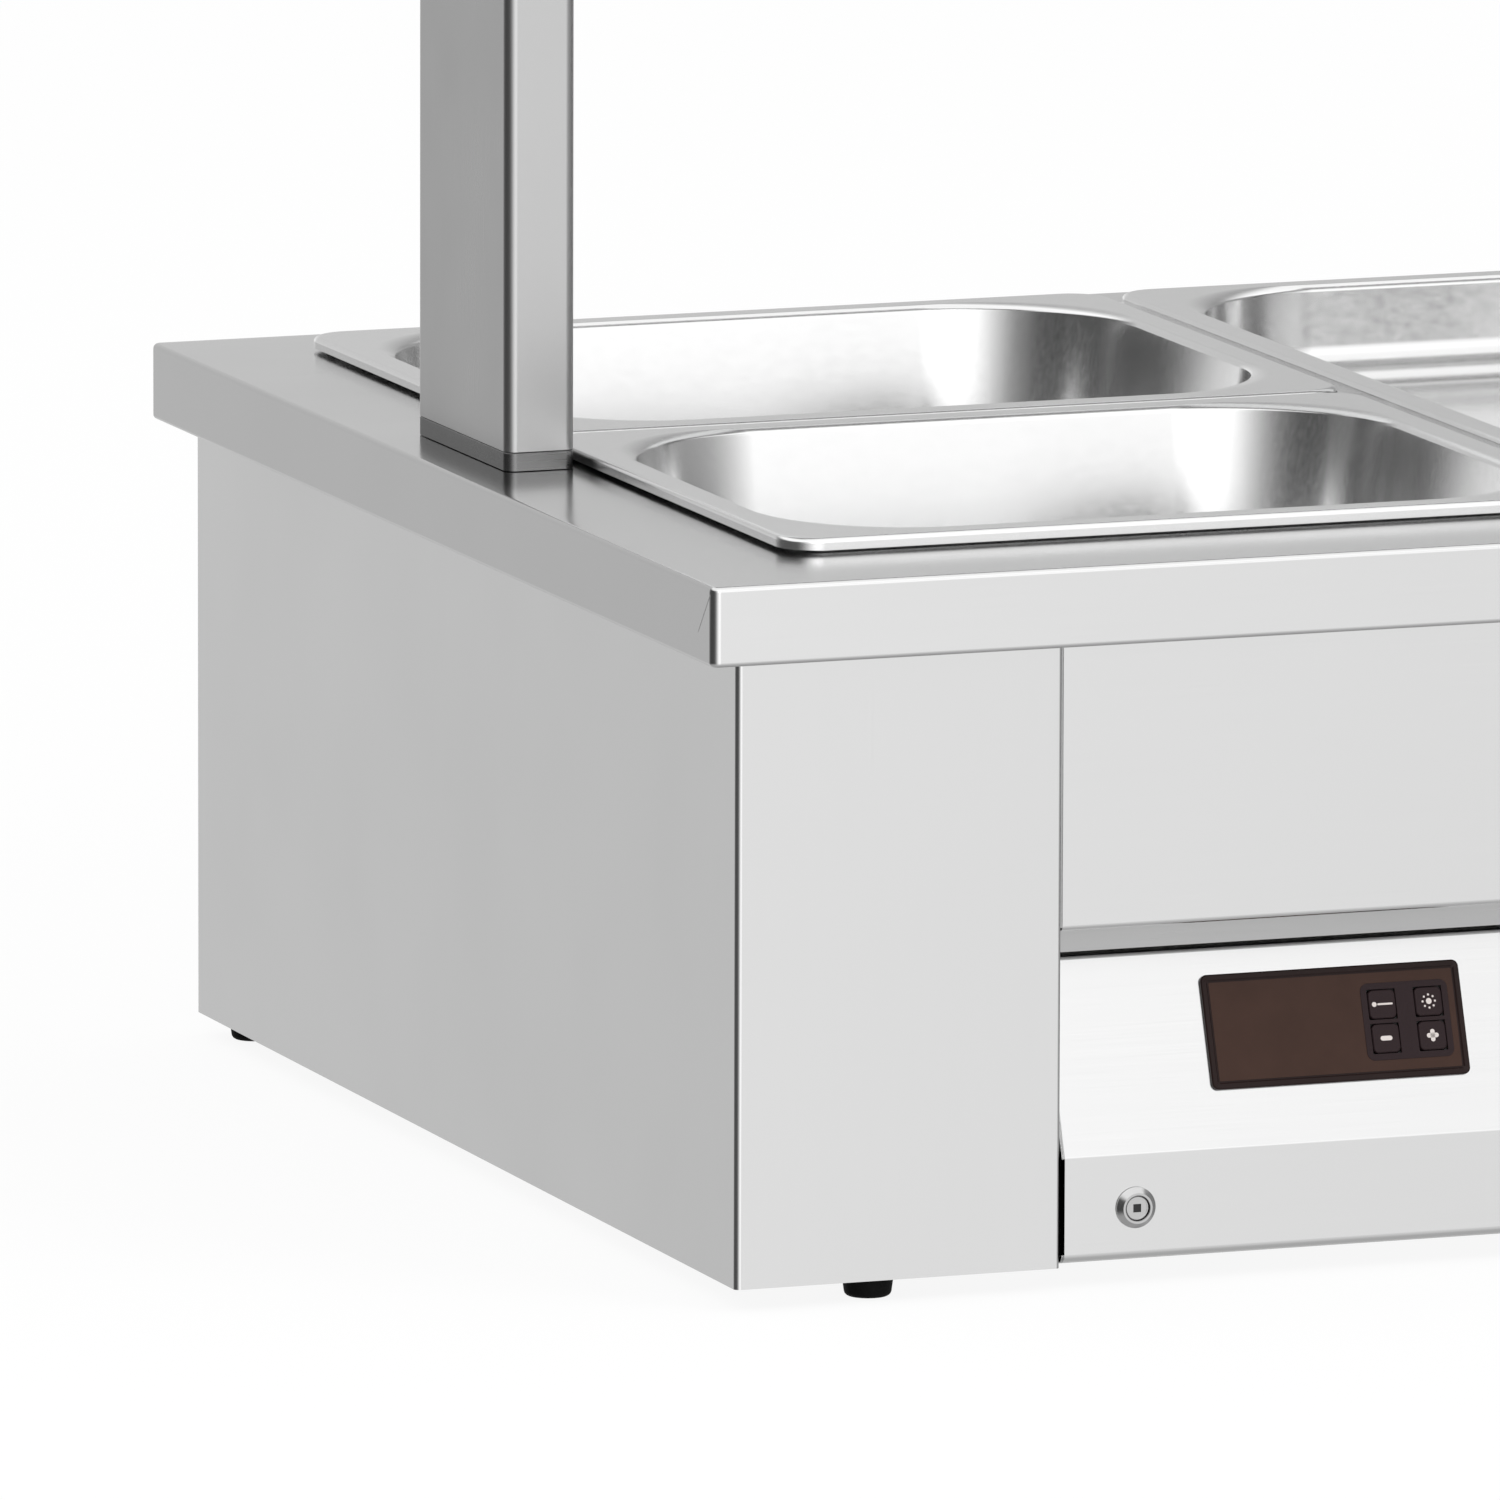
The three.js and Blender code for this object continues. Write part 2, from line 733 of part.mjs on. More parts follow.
function rearPanel() {
  const path = [
    point(rearPanelPlane - topFlange, wallTop), point(rearPanelPlane, wallTop),
    point(rearPanelPlane, caseSheet + fitGap),
  ];
  const half = bodyHalfWidth - bendRadius - fitGap;
  const sheet = extrudeX(bentSheet(path, caseSheet, -1), -half, half);
  const hole = (radius, x) => bar(radius, 2 * overrun, 'y').translate(x, rearPanelPlane, drainZ);
  return cut(sheet, hole(pipeRadius + 2 * fitGap, drainX), hole(glandThreadRadius + fitGap, glandX));
}

// The floor of the cabinet, with the rib that the lock cams catch and an upstand at the rear.
function baseTray() {
  const rear = rearPanelPlane - caseSheet - fitGap;
  const ribFront = frontPlane + ribSetback + caseSheet;
  const ribRear = frontPlane + ribSetback + ribWidth - caseSheet;
  const path = [
    point(frontPlane + caseSheet, 0), point(ribFront, 0), point(ribFront, ribHeight - caseSheet),
    point(ribRear, ribHeight - caseSheet), point(ribRear, 0), point(rear, 0), point(rear, trayUpstand),
  ];
  const bend = caseSheet + fitGap;
  const half = bodyHalfWidth - caseSheet - fitGap;
  const sheet = extrudeX(bentSheet(path, caseSheet, 1, bend), -half, half);
  const cornerRoom = jointInset - lipOverSide - caseSheet;
  const notches = sides.map(([, sign]) => {
    const depth = caseSheet + fitGap + bendRadius + overrun;
    const notch = new THREE.BoxGeometry(cornerRoom + 2 * overrun, 2 * depth, 2 * (ribHeight + overrun));
    return notch.translate(sign * (bodyHalfWidth - cornerRoom / 2), frontPlane + fitGap, 0);
  });
  const returnSlots = sides.map(([, sign]) => {
    const depth = casingReturn + fitGap;
    const slot = new THREE.BoxGeometry(caseSheet + 2 * fitGap, depth, 2 * (ribHeight + overrun));
    return slot.translate(sign * (jointX + caseSheet / 2), frontPlane + depth / 2, 0);
  });
  return cut(sheet, ...notches, ...returnSlots);
}

// A tapered rubber foot with a softened lower edge.
const foot = () => turned([
  [0, 0], [footBottomRadius - footEdge, 0], [footBottomRadius, footEdge],
  [footTopRadius, footHeight], [0, footHeight],
]).rotateX(Math.PI / 2);

// The turned, sloped frame of the control flap: X across, Y up the slope, Z out of its face.
const onSlope = (geometry) => geometry
  .rotateX(Math.PI / 2 - slopeAngle)
  .translate(0, 0, foldHeight);

const glassX = -jointX + glassInset + glassWidth / 2;
const glassY = glassAbove + glassHeight / 2;
const switchX = jointX - switchInset;
const lockX = worktopWidth / 2 - lockInset;
const lockZ = flapBottom + lockAbove;

// The hinged flap: top flange, sloped face, lower face and a return, closed by a gusset at each end.
function controlFlap() {
  const path = [
    point(pivotY + pivotInset + bendRadius, flapTop), point(recessDepth, flapTop), point(0, foldHeight),
    point(0, flapBottom), point(flapReturn, flapBottom),
  ];
  const sheet = extrudeX(bentSheet(path, caseSheet, 1), -flapHalfWidth, flapHalfWidth);
  const outline = bentFaces(path, caseSheet, 1).face;
  const gusset = new THREE.Shape([...outline, point(path[0].x, pivotZ - pivotInset)]);
  gusset.holes.push(roundHole(pivotY, pivotZ, studRadius + fitGap));
  const gussets = [
    extrudeX(gusset, -flapHalfWidth, -flapHalfWidth + caseSheet),
    extrudeX(gusset, flapHalfWidth - caseSheet, flapHalfWidth),
  ];
  const hole = (x, width, height, flange) => {
    const less = 2 * (flange - fitGap);
    return onSlope(new THREE.BoxGeometry(width - less, height - less, 2 * overrun).translate(x, glassY, 0));
  };
  const caseHole = hole(glassX, glassWidth, glassHeight, caseWall);
  const switchHole = hole(switchX, switchWidth, switchHeight, switchWall);
  const lockHoles = sides.map(([, sign]) => (
    bar(lockSleeveRadius + fitGap, 2 * overrun, 'y').translate(sign * lockX, 0, lockZ)
  ));
  return cut(join(sheet, ...gussets), caseHole, switchHole, ...lockHoles);
}

// A stud from the casing's return through the flap's gusset, with a head inside.
function hingeStud(sign) {
  const profile = [
    [0, 0], [studRadius, 0], [studRadius, studLength - studHeadLength],
    [studHeadRadius, studLength - studHeadLength], [studHeadRadius, studLength], [0, studLength],
  ];
  return turned(profile).rotateZ(sign * Math.PI / 2);
}

// The lock's ring, sleeve and nut round a plain bore, about Y with the flap's face at zero.
function lockHousing() {
  const nutStart = caseSheet + fitGap;
  return turned([
    [lockBoreRadius, -fitGap - lockRingProud],
    [lockRingRadius - lockRingEdge, -fitGap - lockRingProud],
    [lockRingRadius, -fitGap - lockRingProud + lockRingEdge],
    [lockRingRadius, -fitGap],
    [lockSleeveRadius, -fitGap],
    [lockSleeveRadius, nutStart],
    [lockNutRadius, nutStart],
    [lockNutRadius, nutStart + lockNutLength],
    [lockSleeveRadius, nutStart + lockNutLength],
    [lockSleeveRadius, lockSleeveLength],
    [lockBoreRadius, lockSleeveLength],
    [lockBoreRadius, -fitGap - lockRingProud],
  ]);
}

// The lock's rotor: a square socket in front and the cam behind, pointing inwards when unlocked.
function lockRotor(sign) {
  const front = -fitGap - lockRingProud + lockRotorRecess;
  const camStart = ribSetback + ribWidth + 2 * fitGap;
  const radius = lockBoreRadius - fitGap;
  const length = camStart - front;
  const barrel = bar(radius, length, 'y').translate(0, front + length / 2, 0);
  const camRect = rectangle(-sign * (camLength - camWidth / 2) / 2, 0, camLength + camWidth / 2, camWidth);
  const cam = block(camRect, camCorner, 0, camThickness);
  cam.rotateX(-Math.PI / 2).translate(0, camStart - camOverlap, 0);
  const socket = new THREE.BoxGeometry(socketSize, 2 * socketDepth, socketSize).translate(0, front, 0);
  return cut(join(barrel, cam), socket);
}

const keypadX = glassWidth / 2 - keyMargin - (keySize + keyPitchAcross) / 2;
const keyPlaces = [
  ['key_power', -1, 1], ['key_light', 1, 1], ['key_down', -1, -1], ['key_up', 1, -1],
].map(([name, across, up]) => [name, keypadX + across * keyPitchAcross / 2, up * keyPitchUp / 2]);

const keyOpenings = (from, to) => keyPlaces.map(([, x, y]) => {
  const size = keySize + 2 * fitGap;
  return block(rectangle(x, y, size, size), keyCorner, from, to);
});

// The controller's front, about its own middle, with an opening for each key.
function controllerGlass() {
  const rect = rectangle(0, 0, glassWidth, glassHeight);
  const plate = loft([
    ring(rect, glassCorner, fitGap),
    ring(rect, glassCorner, glassProud - fitGap),
    ring(inset(rect, fitGap), glassCorner, glassProud),
  ]);
  return cut(plate, ...keyOpenings(-overrun, glassProud + overrun));
}

// The controller's case behind the sloped face, with a step round its back and a well for each key.
function controllerCase() {
  const rect = rectangle(0, 0, glassWidth - 2 * caseWall, glassHeight - 2 * caseWall);
  const shoulder = caseDepth - 2 * caseWall;
  const body = loft([
    ring(rect, caseCorner, 0), ring(rect, caseCorner, -shoulder),
    ring(inset(rect, caseWall), caseCorner, -shoulder), ring(inset(rect, caseWall), caseCorner, -caseDepth),
  ]);
  return cut(body, ...keyOpenings(-keyDepth - 2 * keyTravel, overrun));
}

function controllerKey() {
  const rect = rectangle(0, 0, keySize, keySize);
  const top = glassProud + keyProud;
  return loft([
    ring(rect, keyCorner, -keyDepth), ring(rect, keyCorner, top - keyProud),
    ring(inset(rect, keyProud), keyCorner, top),
  ]);
}

// A rocker switch's frame, open through the middle in front and closed behind.
function switchHousing() {
  const flange = rectangle(0, 0, switchWidth, switchHeight);
  const body = inset(flange, switchWall);
  const mouth = inset(body, switchWall);
  return loft([
    ring(body, fitGap, -switchDepth), ring(body, fitGap, fitGap), ring(flange, switchWall, fitGap),
    ring(flange, switchWall, switchProud), ring(mouth, fitGap, switchProud),
    ring(mouth, fitGap, -rockerDepth - switchWall),
  ]);
}

// The rocker, tilted to off: a shallow V on top, turning about X at its own origin.
function switchRocker() {
  const across = switchWidth - 4 * switchWall - 2 * fitGap;
  const half = (switchHeight - 4 * switchWall) / 2 - 3 * fitGap;
  const top = switchProud;
  const outline = new THREE.Shape([
    point(-half, top + rockerRise), point(-half + rockerRise, -rockerDepth / 2),
    point(0, -rockerDepth + rockerRise), point(half - rockerRise, -rockerDepth / 2),
    point(half, top + rockerRise), point(0, top),
  ].reverse());
  return extrudeX(outline, -across / 2, across / 2).rotateX(-THREE.MathUtils.degToRad(rockerTilt));
}

// The drain pipe: down from the tank, round a bend and out through the rear panel.
function drainPipe() {
  const top = -tankDepth - tankSheet - fitGap;
  const level = drainZ - bodyHeight;
  const end = pipeEndY - drainY - wellMiddle;
  const across = new THREE.Vector3(1, 0, 0);
  const stations = [[0, top, 0]];
  const turnSteps = 2 * bendSteps;
  for (let k = 0; k <= turnSteps; k++) {
    const angle = Math.PI / 2 * k / turnSteps;
    stations.push([pipeBend * (1 - Math.cos(angle)), level + pipeBend * (1 - Math.sin(angle)), angle]);
  }
  stations.push([end, level, Math.PI / 2]);
  const tube = (radius) => stations.map(([y, z, angle]) => {
    const heading = new THREE.Vector3(0, Math.sin(angle), -Math.cos(angle));
    return tubeRing(new THREE.Vector3(0, y, z), heading, across, radius, roundSides);
  });
  return loft([...tube(pipeRadius), ...tube(pipeBore).reverse()], true);
}

// The tap's body about Y from its inlet, its outlet bore and the boss for the lever.
function drainTap() {
  const end = tapBodyLength + tapOutletLength;
  const body = turned([
    [0, 0], [tapOutletRadius, 0], [tapRadius, tapShoulder], [tapRadius, tapBodyLength - tapShoulder],
    [tapOutletRadius, tapBodyLength], [tapOutletRadius, end], [tapOutletBore, end],
    [tapOutletBore, end - tapBoreDepth], [0, end - tapBoreDepth],
  ]);
  const bossTop = tapRadius + stemHeight;
  const boss = bar(stemRadius, bossTop, 'z').translate(0, tapBodyLength / 2, bossTop / 2);
  return join(body, boss);
}

// The tap's lever: a hub, a step up and a flat grip, across the pipe when shut.
function drainLever() {
  const grip = leverLength * leverGripShare;
  const path = [
    point(0, leverThickness), point(leverLength - grip - leverBend, leverThickness),
    point(leverLength - grip, leverThickness + leverBend), point(leverLength, leverThickness + leverBend),
  ];
  const outline = bentSheet(path, leverThickness, -1, 2 * leverThickness);
  const arm = extrudeY(outline, -leverWidth / 2, leverWidth / 2);
  return join(bar(leverHubRadius, leverThickness, 'z').translate(0, 0, leverThickness / 2), arm);
}

// A hollow cable gland: tail and thread through the rear panel, hexagonal flange and dome outside.
function cableGland() {
  const seat = fitGap;
  const body = turned([
    [glandBore, -glandTail], [glandThreadRadius, -glandTail], [glandThreadRadius, seat],
    [glandDomeRadius, seat], [glandDomeRadius, glandLength - glandDomeEdge],
    [glandDomeRadius - glandDomeTaper, glandLength], [glandBore, glandLength], [glandBore, -glandTail],
  ]);
  const hexagon = turned([
    [glandBore, seat], [glandFlangeRadius, seat], [glandFlangeRadius, seat + glandFlangeLength],
    [glandBore, seat + glandFlangeLength], [glandBore, seat],
  ], hexagonSides);
  const opened = cut(hexagon, bar(glandBore + fitGap, 4 * glandLength, 'y'));
  return join(body, opened);
}

function safetyThermostat() {
  return turned([
    [0, 0], [thermostatRadius, 0], [thermostatRadius, thermostatDepth],
    [thermostatPinRadius, thermostatDepth], [thermostatPinRadius, thermostatDepth + thermostatPinLength],
    [0, thermostatDepth + thermostatPinLength],
  ]).rotateX(Math.PI);
}

// A block with stepped shoulders for its terminals, standing on the base tray.
function steppedBlock(width, depth, height, step) {
  const half = depth / 2;
  const upper = half - step / 2;
  const shoulder = height - step;
  const outline = new THREE.Shape([
    point(-half, 0), point(half, 0), point(half, shoulder), point(upper, shoulder),
    point(upper, height), point(-upper, height), point(-upper, shoulder), point(-half, shoulder),
  ]);
  return extrudeX(outline, -width / 2, width / 2);
}

// Gantry pieces, with the worktop's surface at zero

const postRect = rectangle(0, 0, postWidth, postDepth);

function postCollar() {
  const spigot = inset(postRect, postWall + fitGap);
  const bore = inset(spigot, postWall);
  const corner = (by) => postCorner - Math.min(by, postCorner - postWall);
  const top = collarHeight + spigotHeight;
  return loft([
    ring(postRect, postCorner, fitGap), ring(postRect, postCorner, collarHeight),
    ring(spigot, corner(postWall), collarHeight), ring(spigot, corner(postWall), top),
    ring(bore, corner(postWall), top), ring(bore, corner(postWall), fitGap),
  ], true);
}

function gantryPost() {
  const inside = inset(postRect, postWall);
  const from = collarHeight + fitGap;
  const to = gantryTop - caseSheet - fitGap;
  return loft([
    ring(postRect, postCorner, from), ring(postRect, postCorner, to),
    ring(inside, postCorner - postWall, to), ring(inside, postCorner - postWall, from),
  ], true);
}

const canopyWidth = 2 * (postX + postWidth / 2 + canopyBend + fitGap);
const canopyRect = rectangle(0, 0, canopyWidth, canopyDepth);

// The canopy: top and skirts pressed as one, hemmed inwards, with the hem notched round the posts.
function canopy() {
  const path = [
    point(canopyBend + overrun, gantryTop), point(0, gantryTop),
    point(0, servingHeight), point(canopyHem, servingHeight),
  ];
  const shell = pressedSheet(canopyRect, path, caseSheet, 1, [canopyBend, bendRadius], () => canopyCorner);
  const room = inset(postRect, -fitGap - caseSheet / 2);
  const notches = sides.map(([, sign]) => (
    block(room, postCorner, servingHeight - overrun, servingHeight + canopyHem).translate(sign * postX, 0, 0)
  ));
  return cut(shell, ...notches);
}

// A polished trough over the pans, its flanges lying on the canopy's hems.
function lampTray() {
  const half = canopyDepth / 2 - caseSheet - 2 * fitGap;
  const low = servingHeight + caseSheet + fitGap;
  const path = [
    point(-half, low), point(-half + trayFlange, low), point(-trayTopWidth / 2, low + trayRise),
    point(trayTopWidth / 2, low + trayRise), point(half - trayFlange, low), point(half, low),
  ];
  return extrudeX(bentSheet(path, caseSheet, 1), -trayHalfLength, trayHalfLength);
}

const lampZ = servingHeight + caseSheet + fitGap + trayRise - lampDrop;
const lampHalfLength = trayHalfLength - lampInset;

// A quartz tube with a cap at each end, along X.
function heatLamp() {
  const end = lampHalfLength;
  const capStart = end - lampCapLength;
  return turned([
    [0, -end], [lampCapRadius, -end], [lampCapRadius, -capStart], [lampRadius, -capStart],
    [lampRadius, capStart], [lampCapRadius, capStart], [lampCapRadius, end], [0, end],
  ]).rotateZ(Math.PI / 2);
}

// A fork that hangs under the tray's top and takes the lamp's cap from below.
function lampHolder() {
  const top = lampDrop - fitGap;
  const half = holderDepth / 2;
  const mouth = lampCapRadius + fitGap;
  const outline = new THREE.Shape();
  outline.moveTo(-half, top);
  outline.lineTo(-half, -holderWall);
  outline.lineTo(-mouth, -holderWall);
  outline.lineTo(-mouth, 0);
  outline.absarc(0, 0, mouth, Math.PI, 0, true);
  outline.lineTo(mouth, -holderWall);
  outline.lineTo(half, -holderWall);
  outline.lineTo(half, top);
  return extrudeX(outline, -holderWidth / 2, holderWidth / 2);
}

// The pane, about the middle of its thickness, hanging down from its top edge.
function guardGlass() {
  const width = 2 * (trayHalfLength - paneEndInset);
  const outline = rectangle(0, -paneHeight / 2, width, paneHeight);
  return loft([
    ring(inset(outline, fitGap), postCorner, -paneThickness / 2),
    ring(outline, postCorner, fitGap - paneThickness / 2),
    ring(outline, postCorner, paneThickness / 2 - fitGap),
    ring(inset(outline, fitGap), postCorner, paneThickness / 2),
  ]).rotateX(Math.PI / 2);
}

// A clamp on the canopy's rear skirt: its back is upright, its jaw leans with the pane.
function glassClamp() {
  const lean = Math.tan(THREE.MathUtils.degToRad(paneTilt));
  const jaw = paneThickness / 2 + fitGap;
  const outer = jaw + clampWall;
  const backAt = (z) => -paneSeat + fitGap + z * lean;
  const outline = new THREE.Shape([
    point(backAt(clampWall + fitGap), clampWall + fitGap), point(backAt(-clampGrip), -clampGrip),
    point(-jaw, -clampGrip), point(-jaw, fitGap), point(jaw, fitGap), point(jaw, -clampGrip),
    point(outer, -clampGrip), point(outer, clampWall + fitGap),
  ]);
  return extrudeX(outline, -clampLength / 2, clampLength / 2);
}

// Assembly

const bainMarie = new THREE.Group();
const unit = group(bainMarie, 0, -rearReach / 2, footHeight);

function addCabinet() {
  sides.forEach(([name, sign]) => place(unit, `${name}_end_casing`, endCasing(sign), satinSteel));
  place(unit, 'rear_panel', rearPanel(), satinSteel);
  place(unit, 'base_tray', baseTray(), satinSteel);
  sides.forEach(([name, sign]) => {
    place(unit, `front_${name}_foot`, foot(), blackRubber,
      sign * (bodyHalfWidth - frontFootSide), frontPlane + footSetback, -footHeight);
    place(unit, `rear_${name}_foot`, foot(), blackRubber,
      sign * (bodyHalfWidth - rearFootSide), rearPlane - footSetback, -footHeight);
  });
}

function addWell() {
  const well = group(unit, 0, wellMiddle, bodyHeight);
  place(well, 'worktop', worktop(), satinSteel);
  place(well, 'well_tank', wellTank(), tankSteel);
  place(well, 'heat_shield', heatShield(), tankSteel);
  place(well, 'insulation_mat', insulationMat(), mineralWool);
  const elementZ = -tankDepth - tankSheet - fitGap - elementRadius;
  for (let i = 0; i < columns; i++) {
    const x = (i - (columns - 1) / 2) * columnPitch;
    place(well, `heating_element_${i + 1}`, heatingElement(), turnedSteel, x, 0, elementZ);
  }
  sides.forEach(([name, sign]) => {
    place(well, `${name}_column_bar`, columnBar(), satinSteel, sign * columnPitch / 2, 0, -worktopSheet);
    place(well, `${name}_row_bar`, rowBar(sign), satinSteel, 0, 0, -worktopSheet);
  });
  [['front', -1], ['rear', 1]].forEach(([row, back]) => sides.forEach(([name, sign]) => {
    place(well, `${row}_${name}_pan`, pan(panLong, panShort, deepPanDepth, deepDraft), deepDrawnSteel,
      sign * columnPitch, back * panShort / 2);
  }));
  place(well, 'middle_pan', pan(panLong, panRowsDepth, shallowPanDepth, shallowDraft), deepDrawnSteel);
  const probeZ = -tankDepth - tankSheet - fitGap - probeRadius;
  place(well, 'temperature_probe', bar(probeRadius, probeLength, 'y'), turnedSteel,
    probeOffset, 0, probeZ);
  const tankFront = -panRowsDepth / 2 + tankInset - tankSheet - fitGap;
  place(well, 'safety_thermostat', safetyThermostat(), blackPlastic,
    thermostatOffset, tankFront, -tankDepth / 2);
  place(well, 'drain_pipe', drainPipe(), turnedSteel, drainX, drainY);
}

function addServices() {
  place(unit, 'drain_tap', drainTap(), nickelBrass, drainX, pipeEndY + fitGap, drainZ);
  place(unit, 'drain_lever', drainLever(), leverPaint,
    drainX, pipeEndY + fitGap + tapBodyLength / 2, drainZ + tapRadius + stemHeight + fitGap);
  place(unit, 'cable_gland', cableGland(), blackPlastic, glandX, rearPanelPlane, drainZ);
  const floor = caseSheet + fitGap;
  const blockY = rearPanelPlane - blockSetback;
  place(unit, 'power_relay', steppedBlock(relayWidth, relayDepth, relayHeight, relayStep), greyPlastic,
    drainX + pipeRadius + relayClearance + relayWidth / 2, blockY, floor);
  place(unit, 'terminal_block', steppedBlock(terminalLength, terminalDepth, terminalHeight, terminalStep),
    greyPlastic, glandX, blockY, floor);
}

function addFront() {
  const front = group(unit, 0, frontPlane, 0);
  place(front, 'front_panel', frontPanel(), satinSteel);
  place(front, 'control_flap', controlFlap(), satinSteel);
  sides.forEach(([name, sign]) => {
    place(front, `${name}_hinge_stud`, hingeStud(sign), turnedSteel,
      sign * (jointX - fitGap), pivotY, pivotZ);
    place(front, `${name}_lock_housing`, lockHousing(), turnedSteel, sign * lockX, 0, lockZ);
    place(front, `${name}_lock_rotor`, lockRotor(sign), turnedSteel, sign * lockX, 0, lockZ);
  });
  const slope = group(front, 0, 0, foldHeight);
  slope.rotation.x = Math.PI / 2 - slopeAngle;
  place(slope, 'controller_glass', controllerGlass(), smokedGlass, glassX, glassY);
  place(slope, 'controller_case', controllerCase(), blackPlastic, glassX, glassY);
  keyPlaces.forEach(([name, x, y]) => {
    place(slope, name, controllerKey(), keyPlastic, glassX + x, glassY + y);
  });
  place(slope, 'light_switch_housing', switchHousing(), blackPlastic, switchX, glassY);
  place(slope, 'light_switch_rocker', switchRocker(), blackPlastic, switchX, glassY);
}

function addGantry() {
  const gantry = group(unit, 0, wellMiddle, bodyHeight);
  sides.forEach(([name, sign]) => {
    place(gantry, `${name}_post_collar`, postCollar(), darkCollar, sign * postX);
    place(gantry, `${name}_post`, gantryPost(), satinSteel, sign * postX);
    place(gantry, `${name}_lamp_holder`, lampHolder(), steatite,
      sign * (lampHalfLength - lampCapLength / 2), 0, lampZ);
  });
  place(gantry, 'canopy', canopy(), satinSteel);
  place(gantry, 'lamp_tray', lampTray(), polishedAluminium);
  place(gantry, 'heat_lamp', heatLamp(), quartz, 0, 0, lampZ);
  const guard = group(gantry, 0, canopyDepth / 2 + paneSeat, servingHeight + paneAboveSkirt);
  guard.rotation.x = THREE.MathUtils.degToRad(paneTilt);
  place(guard, 'guard_glass', guardGlass(), clearGlass);
  sides.forEach(([name, sign]) => {
    place(guard, `${name}_glass_clamp`, glassClamp(), turnedSteel, sign * (trayHalfLength - clampInset));
  });
}

addCabinet();
addWell();
addServices();
addFront();
addGantry();

export default bainMarie;
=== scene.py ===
"""Countertop bain-marie with gastronorm pans and an overhead lamp gantry: the dressed model.

Metres, +Z up, +X to the operator's right, +Y to the rear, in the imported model's frame.
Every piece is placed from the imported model's own boxes and from the named sizes below.
"""

import json
from math import pi, radians, tau

import bmesh
import bpy
import numpy as np
from bpy.props import FloatProperty, FloatVectorProperty, PointerProperty
from bpy.types import Operator, Panel, PropertyGroup
from mathutils import Matrix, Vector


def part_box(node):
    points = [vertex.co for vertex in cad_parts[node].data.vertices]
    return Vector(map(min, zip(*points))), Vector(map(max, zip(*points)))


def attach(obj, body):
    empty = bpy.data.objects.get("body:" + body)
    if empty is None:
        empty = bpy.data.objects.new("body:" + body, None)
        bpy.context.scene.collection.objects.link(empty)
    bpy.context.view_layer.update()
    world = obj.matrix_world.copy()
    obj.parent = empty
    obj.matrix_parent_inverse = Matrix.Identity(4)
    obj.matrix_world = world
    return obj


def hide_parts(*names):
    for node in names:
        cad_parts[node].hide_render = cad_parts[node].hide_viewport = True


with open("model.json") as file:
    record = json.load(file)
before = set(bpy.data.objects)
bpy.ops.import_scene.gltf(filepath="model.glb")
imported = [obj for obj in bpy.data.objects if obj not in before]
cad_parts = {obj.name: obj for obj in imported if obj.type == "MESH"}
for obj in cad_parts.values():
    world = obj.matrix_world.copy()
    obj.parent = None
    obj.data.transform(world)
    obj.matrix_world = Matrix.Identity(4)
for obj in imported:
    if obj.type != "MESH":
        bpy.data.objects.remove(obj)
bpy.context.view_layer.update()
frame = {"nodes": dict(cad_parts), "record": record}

bl_info = {
    "name": "Countertop bain-marie",
    "version": (1, 0, 0),
    "blender": (4, 5, 0),
    "location": "3D View > Sidebar > Bain-marie",
    "description": "Builds a dressed countertop bain-marie round its packed model",
    "category": "Add Mesh",
}

MM = 0.001
SIDES = (("left", -1), ("right", 1))

# How finely round shapes are divided
bend_steps = 6
edge_steps = 8
fold_steps = 10
corner_steps = 12
rim_steps = 18
round_steps = 48
sharp_angle = radians(38)

# Points nearer than this are one point, and edges shorter than this are left out
same_point = 1e-6
no_length = 1e-7

# How far a cutter reaches past a thin sheet on each side
through = 4 * MM

# The order that puts (two across, one along) into x, y and z, for each axis
to_xyz = {"x": (2, 0, 1), "y": (0, 2, 1), "z": (0, 1, 2)}

# A domed head's profile from its socket outwards, in shares of its radius, and the sides of each circle
domed_head = ((0, -0.6), (0.45, -0.6), (0.45, 0), (0.5, 0.02), (0.8, 0.12), (0.96, -0.2), (1, -0.5),
              (1, -0.7), (0, -0.7))
domed_sides = (6, 6, 6, 0, 0, 0, 0, 0, 0)

# The corner radii of the switch's frame from its underside to its well, in millimetres
switch_corners = (0.4, 0.4, 2.2, 2.2, 1.8, 0.8, 0.6, 0.6)

# Each soft box's name, place and side in metres, with its watts between them, and where they aim
soft_boxes = (
    ("key", (1.6, -2.6, 2.6), 42, 1.6),
    ("fill", (-2.2, -2.0, 2.2), 16, 1.8),
)
lamps_aim = (0, 0, 0.2)

# Between which heights of a mirrored direction, or places across it, each side's brightness changes
front_span = (0.0, 0.45)
rear_span = (0.42, 0.65)
top_span = (0.4, 0.75)
floor_span = (-0.7, -0.25)
right_span = (0.35, 0.9)

# How much of the floor's white is its own, so that the rest shows the object's shadow
glow_share = 0.9


# Sizes and colours

def linear(code):
    """An sRGB hex colour as the linear values that shaders take."""
    srgb = np.array([int(code[i:i + 2], 16) for i in (0, 2, 4)]) / 255
    low, high = srgb / 12.92, ((srgb + 0.055) / 1.055) ** 2.4
    return tuple(np.where(srgb <= 0.04045, low, high))


def length(name, description, millimetres):
    """A length that is written in millimetres and kept in metres."""
    return FloatProperty(name=name, description=description, default=millimetres * MM, unit="LENGTH",
                         precision=4)


def angle(name, description, degrees):
    """An angle that is written in degrees and kept in radians."""
    return FloatProperty(name=name, description=description, default=radians(degrees), unit="ROTATION")


def colour(name, description, code):
    """A colour that is written as sRGB hex and kept as linear values."""
    return FloatVectorProperty(name=name, description=description, default=linear(code), subtype="COLOR",
                               size=3, min=0, max=1)


def level(name, description, value):
    """A brightness, where 1 is white, or a share of one."""
    return FloatProperty(name=name, description=description, default=value, min=0)


